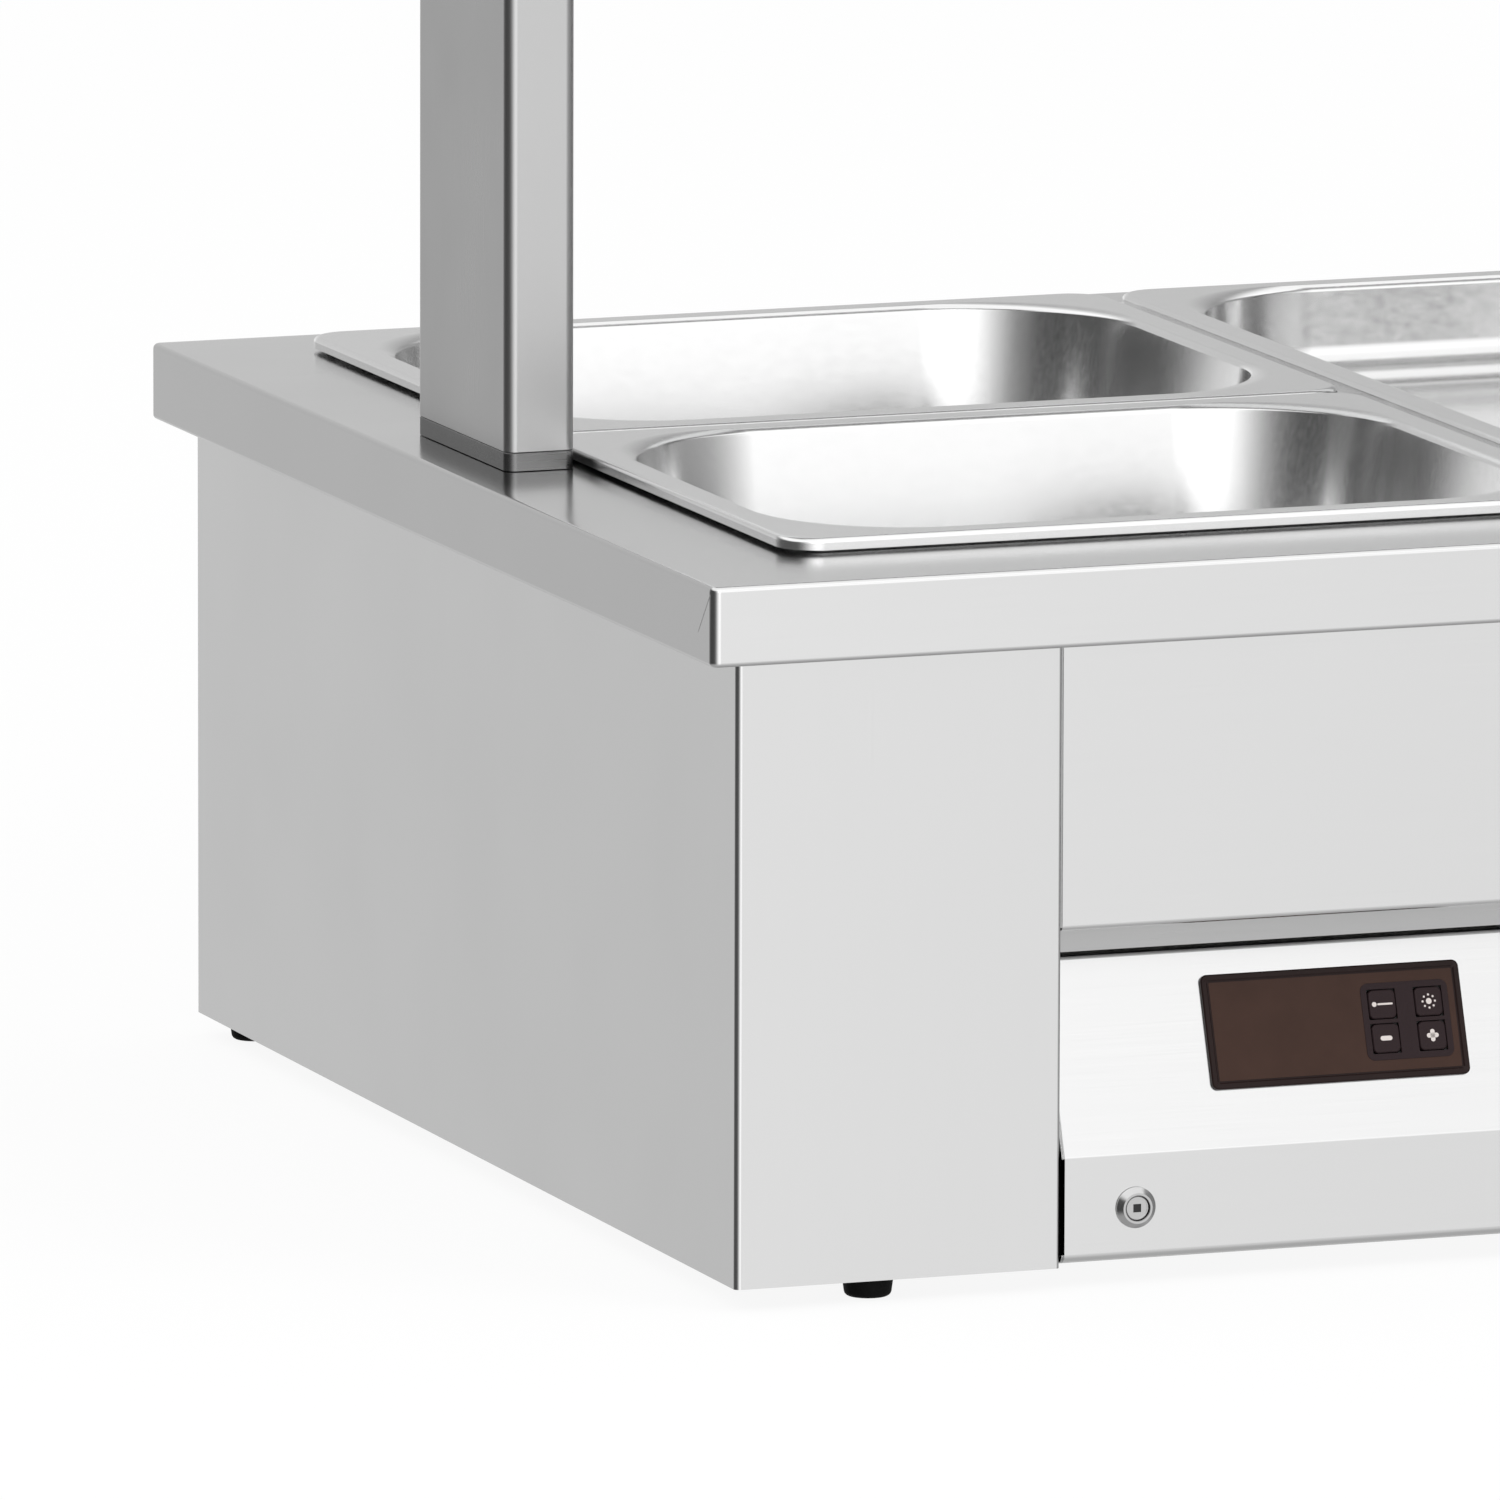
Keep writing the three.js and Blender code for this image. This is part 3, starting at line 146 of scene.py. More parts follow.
class WorktopSizes(PropertyGroup):
    """The worktop: a folded sheet with a lip on every side."""

    sheet: length("Sheet", "Thickness of the worktop's sheet", 1.5)
    lip: length("Lip", "Height of the folded lip", 29)
    lip_bend: length("Lip bend", "Outer radius of the fold along the lip's top", 2)
    corner: length("Corner", "Radius of the worktop's corners seen from above", 3.4)
    hem: length("Hem", "Width of the hem under the lip", 7)
    hem_bend: length("Hem bend", "Outer radius of the fold along the lip's lower edge", 1.8)
    bead_inset: length("Bead inset", "From the pans' outline to the bead", 6.5)
    bead_width: length("Bead width", "Width of the raised bead round the opening", 2.5)
    bead_height: length("Bead height", "Height of the bead above the worktop", 4.5)
    bead_bend: length("Bead bend", "Radius along the bead's top", 1.2)
    opening_corner: length("Opening corner", "Radius of the opening's corners", 12)
    notch: length("Notch", "Width of the bead's notches where pan rims meet", 22.6)
    notch_floor: length("Notch floor", "Height of the bead's notches above the worktop", 2.5)
    cable_hole: length("Cable hole", "Radius of the hole under each post", 6)
    seam_lead: length("Seam lead", "From the worktop's front edge to the welded seams' upper ends", 1.6)
    seam_run: length("Seam run", "How far back the seams run", 13)
    seam_drop: length("Seam drop", "How far below the worktop's top the seams end", 18)
    seam_width: length("Seam width", "Width of the seams, drawn wide enough to show", 0.5)
    seam_depth: length("Seam depth", "Depth of the seams", 0.15)


class PanSizes(PropertyGroup):
    """The drawn pans."""

    sheet: length("Sheet", "Thickness of the drawn sheet", 1)
    play: length("Play", "Room between each side of a pan and its place among the others", 1.5)
    rim_drop: length("Rim drop", "Height of the rim's turned-down edge", 4.3)
    rim_bend: length("Rim bend", "Outer radius of the rim's rolled edge", 2)
    rim_corner: length("Rim corner", "Radius of the rim's corners", 14)
    flange: length("Flange", "Width of the flat flange", 12)
    mouth_bend: length("Mouth bend", "Radius where the flange turns down into the wall", 3)
    mouth_corner: length("Mouth corner", "Radius of the mouth's corners", 65)
    draft: length("Draft", "How far the wall leans in from mouth to floor", 16)
    shallow_draft: length("Shallow draft", "How far the shallow pan's wall leans in", 2)
    floor_bend: length("Floor bend", "Radius between wall and floor", 17)
    floor_corner: length("Floor corner", "Radius of the floor's corners", 33)
    floor_run: length("Floor run", "How far the wall's profile runs on into the flat floor", 3)


class CabinetSizes(PropertyGroup):
    """The cabinet's folded sheets."""

    sheet: length("Sheet", "Thickness of the cabinet's sheets", 1.2)
    bend: length("Bend", "Outer radius of the sheets' folds", 2.2)
    joint_bend: length("Joint bend", "Outer radius of the end casings' folds beside the front panel", 1.3)
    rear_return: length("Rear return", "How far the end casings turn in at the rear", 22)
    casing_return: length("Casing return", "How far the end casings turn back beside the flap", 42.5)
    top_flange: length("Top flange", "Width of the flanges under the worktop", 14)
    recess_depth: length("Recess depth", "Depth of the finger recess", 24.5)
    recess_height: length("Recess height", "Height of the finger recess", 12)
    lap_width: length("Lap width", "Width of the strips behind the front panel's upright joints", 12)
    lap_gap: length("Lap gap", "Room round those strips", 0.1)
    screw: length("Screw", "Radius of the screw heads on the rear panel", 3.6)
    screw_margin: length("Screw margin", "From the rear panel's edges to its screws", 12)
    foot_edge: length("Foot edge", "Radius of the rubber feet's lower edge", 2)
    tray_setback: length("Tray setback", "From the cabinet's front to the base tray's front edge", 9)
    rib_setback: length("Rib setback", "From the cabinet's front to the rib that the lock cams catch", 14)
    rib_width: length("Rib width", "Width of that rib", 4)
    rib_height: length("Rib height", "Height of that rib", 11)


class FlapSizes(PropertyGroup):
    """The hinged control flap, the controller and the light switch."""

    lower_face: length("Lower face", "Height of the flap's upright lower face", 38.5)
    slope: length("Slope", "Height of the sloped face", 69)
    flap_return: length("Return", "How far the flap turns in at its lower edge", 10)
    lower_bend: length("Lower bend", "Outer radius of the fold along the flap's lower edge", 3.2)
    pivot_inset: length("Pivot inset", "From the flap's top corner to its pivot, back and down", 6)
    glass_corner: length("Glass corner", "Radius of the controller's corners", 2.5)
    bezel: length("Bezel", "Width of the controller's border", 2)
    bezel_step: length("Bezel step", "Depth of the window inside the border", 0.45)
    film: length("Film", "Thickness of the window's film, half of the keypad's foil", 0.1)
    film_gap: length("Film gap", "Room under the film and under the foil", 0.02)
    key_corner: length("Key corner", "Radius of a key's corners", 2)
    keypad_margin: length("Keypad margin", "From the keys to the keypad's edge", 2.6)
    hole_room: length("Hole room", "Gap round a key or a case", 0.3)
    case_wall: length("Case wall", "How far the front overlaps the case", 3)
    switch_wall: length("Switch wall", "Width of each step of the switch's frame", 2.2)
    stud_hole: length("Stud hole", "Radius of the gussets' holes on the hinge studs", 2.8)
    glass_edge: length("Glass edge", "Width of the bevels along the controller's border", 0.5)
    least_corner: length("Least corner", "Smallest radius that the window's corners shrink to", 0.6)
    foil_corner: length("Foil corner", "Radius of the keypad foil's corners", 3)
    foil_edge: length("Foil edge", "Radius of the keypad foil's edge", 0.1)
    key_edge: length("Key edge", "Radius of a key's top edge", 0.6)
    switch_seat: length("Switch seat", "Height of the switch frame's underside above the slope", 0.3)
    switch_well: length("Switch well", "Depth of the well that the rocker tilts in", 11)
    switch_edge: length("Switch edge", "Width of the bevel round the switch's frame", 0.6)
    well_edge: length("Well edge", "Width of the bevel round the rocker's well", 0.4)


class LockSizes(PropertyGroup):
    """The two quarter-turn locks."""

    sleeve: length("Sleeve", "Radius of the lock's sleeve", 6)
    ring: length("Ring", "Radius of the lock's ring", 7.5)
    bore: length("Bore", "Radius of the bore that the rotor turns in", 4.6)
    cone: length("Cone", "Width of the cone along the ring's edge", 1.9)
    socket: length("Socket", "Side of the lock's square socket", 3)
    socket_depth: length("Socket depth", "Depth of the square socket", 5)
    seat: length("Seat", "How far the ring's seat lies before the flap's face", 0.3)
    mouth: length("Mouth", "Width of the bevel round the bore's mouth", 0.2)
    mouth_depth: length("Mouth depth", "Depth of that bevel", 0.3)
    nut_place: length("Nut place", "From the flap's face to the nut behind it", 1.5)
    nut_height: length("Nut height", "Height of the nut", 4)
    step: length("Step", "Width and depth of the shallow ring on the rotor's face", 0.3)
    play: length("Play", "Room round the rotor in its bore", 0.2)
    cam: length("Cam", "Thickness of the cam at the rotor's end", 2)
    cam_lap: length("Cam lap", "How far the cam reaches into the barrel", 0.1)
    # The black block in each socket is painted shade of the deep socket.
    shade_block_room: length("Plug room", "Room round the black plug in the socket", 0.075)


class GantrySizes(PropertyGroup):
    """The posts, the canopy and what it holds."""

    post_corner: length("Post corner", "Outer radius of the posts' corners", 4.2)
    post_wall: length("Post wall", "Thickness of the posts' tube", 1.5)
    canopy_bend: length("Canopy bend", "Radius along the canopy's top edges", 4)
    canopy_corner: length("Canopy corner", "Radius of the canopy's corners", 6)
    canopy_hem: length("Canopy hem", "Width of the hem under the canopy", 9)
    tray_flange: length("Tray flange", "Width of the lamp tray's flanges", 22)
    tray_top: length("Tray top", "Width of the lamp tray's top", 90)
    lamp: length("Lamp", "Radius of the quartz tube", 5)
    lamp_wall: length("Lamp wall", "Thickness of the quartz tube", 1)
    lamp_cap: length("Lamp cap", "Length of the lamp's ceramic caps", 24)
    coil: length("Coil", "Radius of the filament's coil", 1.3)
    coil_pitch: length("Coil pitch", "Distance between the filament's turns", 6)
    coil_wire: length("Coil wire", "Radius of the filament's wire", 0.35)
    pane_corner: length("Pane corner", "Radius of the pane's corners", 6)
    pane_edge: length("Pane edge", "Width of the pane's ground edge", 0.8)
    pane_tilt: angle("Pane tilt", "How far the pane's lower edge leans out", 12)
    collar_drop: length("Collar drop", "How far the collar's shoulder lies below the post", 0.3)
    collar_play: length("Collar play", "Room between the collar's spigot and the post's tube", 0.3)
    collar_edge: length("Collar edge", "Width of the bevel round the collar's shoulder", 0.25)
    canopy_run: length("Canopy run", "How far the canopy's profile runs on into the flat top", 6)
    hem_bend: length("Hem bend", "Outer radius of the canopy's lower fold and the tray's folds", 2.2)
    post_room: length("Post room", "Room round each post in the canopy's notches", 0.9)
    notch_drop: length("Notch drop", "How far the notches' cutters start below the canopy", 3)


class ServiceSizes(PropertyGroup):
    """The drain's pipe, tap and lever, and the cable gland."""

    pipe_bend: length("Pipe bend", "Radius of the pipe's axis round its bend", 20)
    pipe_wall: length("Pipe wall", "Thickness of the pipe's wall", 2)
    tap_body: length("Tap body", "Length of the tap's barrel", 26)
    outlet: length("Outlet", "Radius of the serrated outlet", 11)
    tap_bore: length("Tap bore", "Radius of the outlet's bore", 8)
    boss: length("Boss", "Radius of the boss round the tap's stem", 6)
    stem: length("Stem", "Radius of the tap's stem", 5)
    lever_width: length("Lever width", "Width of the lever's arm", 11)
    lever_wall: length("Lever wall", "Thickness of the dipped arm", 3)
    nut: length("Nut", "Half of the lever nut's width across flats", 4)
    gland_bore: length("Gland bore", "Radius of the gland's bore", 4.5)
    thread: length("Thread", "Radius of the gland's threaded tail", 8)
    dome: length("Dome", "Radius of the gland's dome", 8.5)
    flange: length("Flange", "Radius of the circle round the gland's hexagon flange", 12)


class FinishColours(PropertyGroup):
    """The colour of each finish, as it looks in plain light."""

    sheet_steel: colour("Sheet steel", "Bright rolled stainless sheet", "DEDEDE")
    worktop_steel: colour("Worktop steel", "Brighter rolled stainless of the worktop", "D2D2D2")
    post_steel: colour("Post steel", "Brushed tube of the posts", "CACACA")
    # The recess strip is rougher, and its darker colour is painted shade of the finger recess.
    recess_steel: colour("Recess steel", "Duller strip behind the finger recess", "BCBCBC")
    drawn_steel: colour("Drawn steel", "Polished deep-drawn stainless", "EEEEEE")
    tank_steel: colour("Tank steel", "Plain rolled stainless", "C5C5C5")
    turned_steel: colour("Turned steel", "Turned and polished steel", "CACACA")
    collar: colour("Collar", "Darker brushed collars under the posts", "8C8C8C")
    reflector: colour("Reflector", "Polished aluminium of the lamp tray", "EDEDED")
    smoked_acrylic: colour("Smoked acrylic", "Brown display window", "422F28")
    dark_border: colour("Dark border", "Controller's front round the window", "281D1C")
    membrane: colour("Membrane", "Dark keypad foil", "2B2022")
    legend: colour("Legend", "Pale printed marks", "D8CFCB")
    black_plastic: colour("Black plastic", "Moulded housings", "1B1B1C")
    grey_plastic: colour("Grey plastic", "Moulded terminal blocks", "8B8D90")
    rubber: colour("Rubber", "Moulded feet", "090909")
    wool: colour("Mineral wool", "Pressed insulation", "B9A46C")
    nickel: colour("Nickel", "Nickel-plated brass", "BDB7AA")
    vinyl: colour("Vinyl", "Dipped lever grip", "A8241C")
    steatite: colour("Steatite", "Fired ceramic", "E9E3D6")
    glass: colour("Glass", "Edge tint of the guard glass", "FAFBFB")
    filament: colour("Filament", "Cold tungsten wire", "6E6A66")
    quartz: colour("Quartz", "Tint of the lamp's tube", "FDFDFC")


class StageSettings(PropertyGroup):
    """The camera that takes the photograph's view, and the studio round it."""

    lens: FloatProperty(name="Lens", description="Focal length in millimetres on a 36 mm sensor",
                        default=547.99)
    floor: length("Floor", "Half of the side of the square floor", 25000)
    azimuth: angle("Azimuth", "How far the camera stands to the left of straight ahead", 20.345)
    elevation: angle("Elevation", "How far the camera looks down", 9.636)
    roll: angle("Roll", "The camera's turn about its own line of sight", 0.159)
    distance: length("Distance", "From the camera to the point it was fitted to", 8086.8)
    aim_right: length("Aim right", "That point's place to the right of the picture's middle", -13.3)
    aim_up: length("Aim up", "That point's place above the picture's middle", 57.3)
    side_level: level("Sides", "Brightness of the studio's left and right in reflections", 0.08)
    right_level: level("Right", "Brightness that the right side adds to that", 0.28)
    front_level: level("Front", "Brightness that the front side adds to that", 1.36)
    raised_front: level("Raised front", "How many times brighter the front side is further up", 2.05)
    rear_level: level("Rear", "Brightness that the rear side adds to the sides'", 0.9)
    raised_rear: level("Raised rear", "How many times brighter the rear side is further up", 1.6)
    top_level: level("Top", "Brightness that the ceiling adds", 1.2)
    floor_level: level("Floor", "Brightness that the floor adds in reflections", 0.42)
    soft_level: level("Soft light", "Brightness of the studio for matt surfaces", 0.9)


# Surfaces, each an array of points with its faces

def box(node):
    """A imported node's lowest and highest corner at rest."""
    low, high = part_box(node)
    return np.array(low), np.array(high)


def middle(node):
    """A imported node's middle at rest."""
    return sum(box(node)) / 2


def points_of(node):
    """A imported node's points at rest."""
    return np.array([v.co for v in frame["nodes"][node].data.vertices])


def bent_line(corners, radii, steps=bend_steps):
    """A line with rounded corners, and its left normals.

    Each inner corner is left out for an arc: its centre less the radius times a normal that turns
    evenly from the incoming side's to the outgoing side's.
    """
    corners = np.asarray(corners, float)
    ahead = np.diff(corners, axis=0)
    ahead /= np.linalg.norm(ahead, axis=1, keepdims=True)
    left = np.stack([-ahead[:, 1], ahead[:, 0]], 1)
    turn = np.arctan2((left[:-1] * ahead[1:]).sum(1), (ahead[:-1] * ahead[1:]).sum(1))
    signed = (np.broadcast_to(radii, turn.shape) * np.sign(turn))[:, None]
    start = corners[1:-1] - ahead[:-1] * abs(signed) * np.tan(abs(turn) / 2)[:, None]
    centre = start + left[:-1] * signed
    sweep = (turn[:, None] * np.linspace(0, 1, steps + 1))[..., None]
    normal = left[:-1, None] * np.cos(sweep) - ahead[:-1, None] * np.sin(sweep)
    arcs = centre[:, None] - normal * signed[:, None]
    points = np.concatenate([corners[:1], arcs.reshape(-1, 2), corners[-1:]])
    normals = np.concatenate([left[:1], normal.reshape(-1, 2), left[-1:]])
    return points, normals


def doubled(corners, radii, thickness, steps=bend_steps):
    """A sheet's outline: a bent line, and back along its left the same line at the sheet's thickness."""
    points, normals = bent_line(corners, radii, steps)
    return np.concatenate([points, (points + thickness * normals)[::-1]])


def folded(corners, radius, thickness, side):
    """The outline of a folded sheet whose inner face lies on the left, side 1, or on the right, side -1.

    The radius is the outer one of each fold, so it is less by the thickness on the inner face.
    """
    ahead = np.diff(np.asarray(corners, float), axis=0)
    turn = ahead[:-1, 0] * ahead[1:, 1] - ahead[:-1, 1] * ahead[1:, 0]
    radii = np.where(np.sign(turn) == side, radius, np.asarray(radius) - thickness)
    return doubled(corners, radii, side * thickness)


def prism(outline, start, end, axis):
    """A closed prism: an outline in the two other axes, repeated at start and at end along the axis."""
    count = len(outline)
    points = np.column_stack([np.tile(outline, (2, 1)), np.repeat([start, end], count)])[:, to_xyz[axis]]
    here = np.arange(count)
    there = np.roll(here, -1)
    walls = np.stack([here, there, there + count, here + count], 1).tolist()
    return points, walls + [here.tolist(), (here + count).tolist()]


def block(low, high):
    """A cuboid between two corners, as the prism of its plan."""
    plan = [(low[0], low[1]), (high[0], low[1]), (high[0], high[1]), (low[0], high[1])]
    return prism(plan, low[2], high[2], "z")


def skin(rings, joined=False):
    """Quads between stacked rings of points; the first and last ring are capped, or joined together."""
    count, around = rings.shape[:2]
    index = np.arange(count * around).reshape(count, around)
    rows = np.vstack([index, index[:1]]) if joined else index
    ahead = np.roll(rows, -1, 1)
    quads = np.stack([rows[:-1], ahead[:-1], ahead[1:], rows[1:]], -1).reshape(-1, 4).tolist()
    caps = [] if joined else [index[0].tolist(), index[-1].tolist()]
    return rings.reshape(-1, 3), quads + caps


def rounded_rings(low, high, inset, radius, height, steps=corner_steps):
    """Rounded rectangles stacked in z: each corner's centre plus its radius times (cos, sin) of a
    quarter turn. Inset, radius and height give one value for each ring.
    """
    values = np.broadcast_arrays(*map(np.atleast_1d, (inset, radius, height)))
    inset, radius, height = (v[:, None, None] for v in values)
    sweep = np.arange(4)[:, None] * pi / 2 + np.linspace(0, pi / 2, steps + 1)
    across = np.array([1, -1, -1, 1])[:, None]
    along = np.array([1, 1, -1, -1])[:, None]
    centre = (np.asarray(low)[:2] + np.asarray(high)[:2]) / 2
    half = (np.asarray(high)[:2] - np.asarray(low)[:2]) / 2
    x = centre[0] + across * (half[0] - inset - radius) + radius * np.cos(sweep)
    y = centre[1] + along * (half[1] - inset - radius) + radius * np.sin(sweep)
    z = np.broadcast_to(height, x.shape)
    return np.stack([x, y, z], -1).reshape(len(x), -1, 3)


def plate(low, high, radius, edge, steps=corner_steps):
    """A flat rounded plate with softened edges: rings that step in by the edge's quarter round."""
    sweep = np.linspace(0, pi / 2, 4)
    rise, draw = edge * np.sin(sweep), edge * (1 - np.cos(sweep))
    inset = np.concatenate([draw[::-1], draw])
    height = np.concatenate([low[2] + edge - rise[::-1], high[2] - edge + rise])
    return skin(rounded_rings(low, high, inset, np.maximum(radius - inset, edge / 4), height, steps))


def turned(profile, centre, axis, sides=None, steps=round_steps):
    """A turned piece: every (radius, along) pair of the profile carried round the axis.

    Where sides gives a number above zero, that circle's radius is divided by the cosine of the angle to
    the nearest flat, which makes a regular polygon of it.
    """
    radius, along = np.asarray(profile, float).T
    sweep = np.linspace(0, tau, steps, endpoint=False)
    flats = (np.zeros(len(radius)) if sides is None else np.asarray(sides, float))[:, None]
    sector = tau / np.maximum(flats, 1)
    off = (sweep[None] + sector / 2) % sector - sector / 2
    radius = radius[:, None] / np.where(flats > 0, np.cos(np.where(flats > 0, off, 0)), 1)
    height = np.broadcast_to(along[:, None], radius.shape)
    rings = np.stack([radius * np.cos(sweep), radius * np.sin(sweep), height], -1)
    joined = bool(np.allclose(profile[0], profile[-1]))
    points = rings[:-1] if joined else rings
    return skin(points[..., to_xyz[axis]] + np.asarray(centre), joined)


def rod(radius, start, end, centre, axis, steps=round_steps):
    """A round cutter or dot: one radius between two places along its axis."""
    return turned([(0, start), (radius, start), (radius, end), (0, end)], centre, axis, steps=steps)


def softened(corners, radius, steps=4):
    """A turned piece's profile with its inner corners rounded."""
    return bent_line(corners, radius, steps)[0]


def tube(path, radius, up, bore=0, steps=16):
    """A round tube along a flat path: circles across the path's direction, on the plane's own normal.

    With a bore it is hollow: the inner circles run back the other way.
    """
    path = np.asarray(path, float)
    ahead = np.gradient(path, axis=0)
    ahead /= np.linalg.norm(ahead, axis=1, keepdims=True)
    across = np.cross(ahead, up)
    sweep = np.linspace(0, tau, steps, endpoint=False)[None, :, None]

    def rings(size):
        circle = across[:, None] * np.cos(sweep) + np.asarray(up, float) * np.sin(sweep)
        return path[:, None] + size * circle

    if bore:
        return skin(np.concatenate([rings(radius), rings(bore)[::-1]]), True)
    return skin(rings(radius))


def merged(*surfaces):
    """Several surfaces as one, with each one's faces counted on from the points before it."""
    starts = np.cumsum([0] + [len(points) for points, _ in surfaces]).tolist()
    faces = [[start + i for i in face] for start, (_, some) in zip(starts, surfaces) for face in some]
    return np.concatenate([points for points, _ in surfaces]), faces


def moved(surface, matrix=None, by=(0, 0, 0)):
    """A surface turned by a matrix, then shifted."""
    points, faces = surface
    return (points if matrix is None else points @ np.asarray(matrix).T) + np.asarray(by), faces


def mesh_of(name, surface):
    """A mesh from a surface: coinciding points are made one and every face is turned outwards."""
    points, faces = surface
    mesh = bpy.data.meshes.new(name)
    mesh.from_pydata(np.asarray(points, float).tolist(), [], faces)
    work = bmesh.new()
    work.from_mesh(mesh)
    bmesh.ops.remove_doubles(work, verts=work.verts, dist=same_point)
    bmesh.ops.dissolve_degenerate(work, edges=work.edges, dist=no_length)
    bmesh.ops.recalc_face_normals(work, faces=work.faces)
    work.to_mesh(mesh)
    work.free()
    return mesh


def cut(mesh, surface):
    """The mesh less a closed surface, worked out by an exact Boolean."""
    whole = bpy.data.objects.new("whole", mesh)
    tool = bpy.data.objects.new("tool", mesh_of("tool", surface))
    for made in (whole, tool):
        bpy.context.scene.collection.objects.link(made)
    modifier = whole.modifiers.new("cut", "BOOLEAN")
    modifier.operation = "DIFFERENCE"
    modifier.solver = "EXACT"
    modifier.use_self = True
    modifier.object = tool
    bpy.context.view_layer.update()
    result = bpy.data.meshes.new_from_object(whole.evaluated_get(bpy.context.evaluated_depsgraph_get()))
    result.name = mesh.name
    for made in (whole, tool):
        bpy.data.objects.remove(made)
    return result


def add_piece(name, shape, finish, body="cabinet", stands_for=(), slot=None):
    """Makes a piece from a surface or a mesh, gives it its finish and lets it ride on its body."""
    mesh = mesh_of(name, shape) if isinstance(shape, tuple) else shape
    mesh.name = name
    mesh.shade_smooth()
    mesh.set_sharp_from_angle(angle=sharp_angle)
    mesh.materials.clear()
    mesh.materials.append(Finishes.get(finish))
    piece = bpy.data.objects.new(name, mesh)
    bpy.context.scene.collection.objects.link(piece)
    flat = piece.modifiers.new("flat_faces", "WEIGHTED_NORMAL")
    flat.keep_sharp = True
    flat.weight = 100
    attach(piece, body)
    if stands_for:
        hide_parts(*stands_for)
    return piece


def refinish(node, finish):
    """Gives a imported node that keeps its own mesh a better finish."""
    mesh = frame["nodes"][node].data
    mesh.materials.clear()
    mesh.materials.append(Finishes.get(finish))


# Finishes

def add(tree, kind, inputs=None, **settings):
    """Adds one shader node with its settings, and joins or sets its inputs."""
    made = tree.nodes.new(kind)
    for key, value in settings.items():
        setattr(made, key, value)
    fill(tree, made, inputs or {})
    return made


def fill(tree, node, inputs):
    """Joins or sets a node's inputs: another node's output is linked, and anything else is a value."""
    for socket, source in inputs.items():
        if isinstance(source, bpy.types.NodeSocket):
            tree.links.new(source, node.inputs[socket])
        else:
            node.inputs[socket].default_value = source


def blank(name):
    """A new material with only a Principled shader and an output."""
    material = bpy.data.materials.new(name)
    material.use_nodes = True
    tree = material.node_tree
    tree.nodes.clear()
    shader = add(tree, "ShaderNodeBsdfPrincipled")
    add(tree, "ShaderNodeOutputMaterial", {"Surface": shader.outputs[0]})
    return material, tree, shader


def spread(tree, value, low, high):
    """Maps a pattern's 0.3 to 0.7, where noise mostly lies, to a range."""
    return add(tree, "ShaderNodeMapRange", {0: value, 1: 0.3, 2: 0.7, 3: low, 4: high}).outputs[0]


def shaded(tree, colour_value, amount, pattern):
    """A colour that a pattern darkens by up to a share of itself."""
    dark = tuple(v * (1 - amount) for v in colour_value)
    return add(tree, "ShaderNodeMix", {0: pattern, 6: (*dark, 1), 7: (*colour_value, 1)},
               data_type="RGBA").outputs[2]


def painted_side_shade(tree, colour_value, side_shade):
    """A colour times a share for faces across x, y and z: the normal's squares weigh the three shares.

    This is painted shade and painted brightness: each side of a piece is made darker or lighter by which
    way it faces, standing in for light and shade.
    """
    normal = add(tree, "ShaderNodeNewGeometry").outputs["Normal"]
    squares = add(tree, "ShaderNodeVectorMath", {0: normal, 1: normal}, operation="MULTIPLY").outputs[0]
    share = add(tree, "ShaderNodeVectorMath", {0: squares, 1: side_shade},
                operation="DOT_PRODUCT").outputs["Value"]
    return add(tree, "ShaderNodeVectorMath", {0: colour_value, "Scale": share},
               operation="SCALE").outputs[0]


def noise(tree, size, detail=2.0, stretch=(1, 1, 1)):
    """Noise on Object coordinates whose grains are size metres across, times stretch along each axis."""
    place = add(tree, "ShaderNodeTexCoord").outputs["Object"]
    scale = tuple(1 / (size * s) for s in stretch)
    mapped = add(tree, "ShaderNodeMapping", {0: place, 3: scale}).outputs[0]
    return add(tree, "ShaderNodeTexNoise", {0: mapped, 2: 1.0, 3: detail}).outputs[0]


def bumped(tree, shader, *heights):
    """Stacks bumps on a shader: each is a pattern and its depth in metres."""
    normal = None
    for pattern, depth in heights:
        links = {"Height": pattern, "Distance": depth, "Strength": 1.0}
        if normal:
            links["Normal"] = normal
        normal = add(tree, "ShaderNodeBump", links).outputs[0]
    tree.links.new(normal, shader.inputs["Normal"])


def rolled_sheet(name, colour_value, roughness, along, side_shade=(1, 1, 1), grain=1.0):
    """AISI 304 sheet, cold rolled and lightly brushed: the grain of a 320 grit belt runs one way.

    The real lines are 0.05 mm apart and don't show, so they are drawn 0.5 mm apart. A sheet is never
    quite flat, which bends its reflections over 150 mm. Grain is how strong the lines are.
    """
    line, cloud, wave = 0.5 * MM, 90 * MM, 150 * MM
    line_depth, wave_depth = 0.0006 * MM * grain, 0.03 * MM
    darker, uneven = 0.05 * grain, roughness * 0.15 * grain
    run = 120
    material, tree, shader = blank(name)
    lines = noise(tree, line, 3.0, {"x": (run, 1, 1), "y": (1, run, 1), "z": (1, 1, run)}[along])
    rough = add(tree, "ShaderNodeMath", {0: spread(tree, lines, roughness - uneven, roughness + uneven),
                                         1: spread(tree, noise(tree, cloud, 2.0), 0.9, 1.1)},
                operation="MULTIPLY").outputs[0]
    # The base colour carries painted side shade: each side is darker or lighter by which way it faces.
    fill(tree, shader, {"Base Color": painted_side_shade(tree, shaded(tree, colour_value, darker, lines), side_shade),
                        "Roughness": rough, "Metallic": 1.0})
    bumped(tree, shader, (noise(tree, wave, 1.0), wave_depth), (lines, line_depth))
    return material


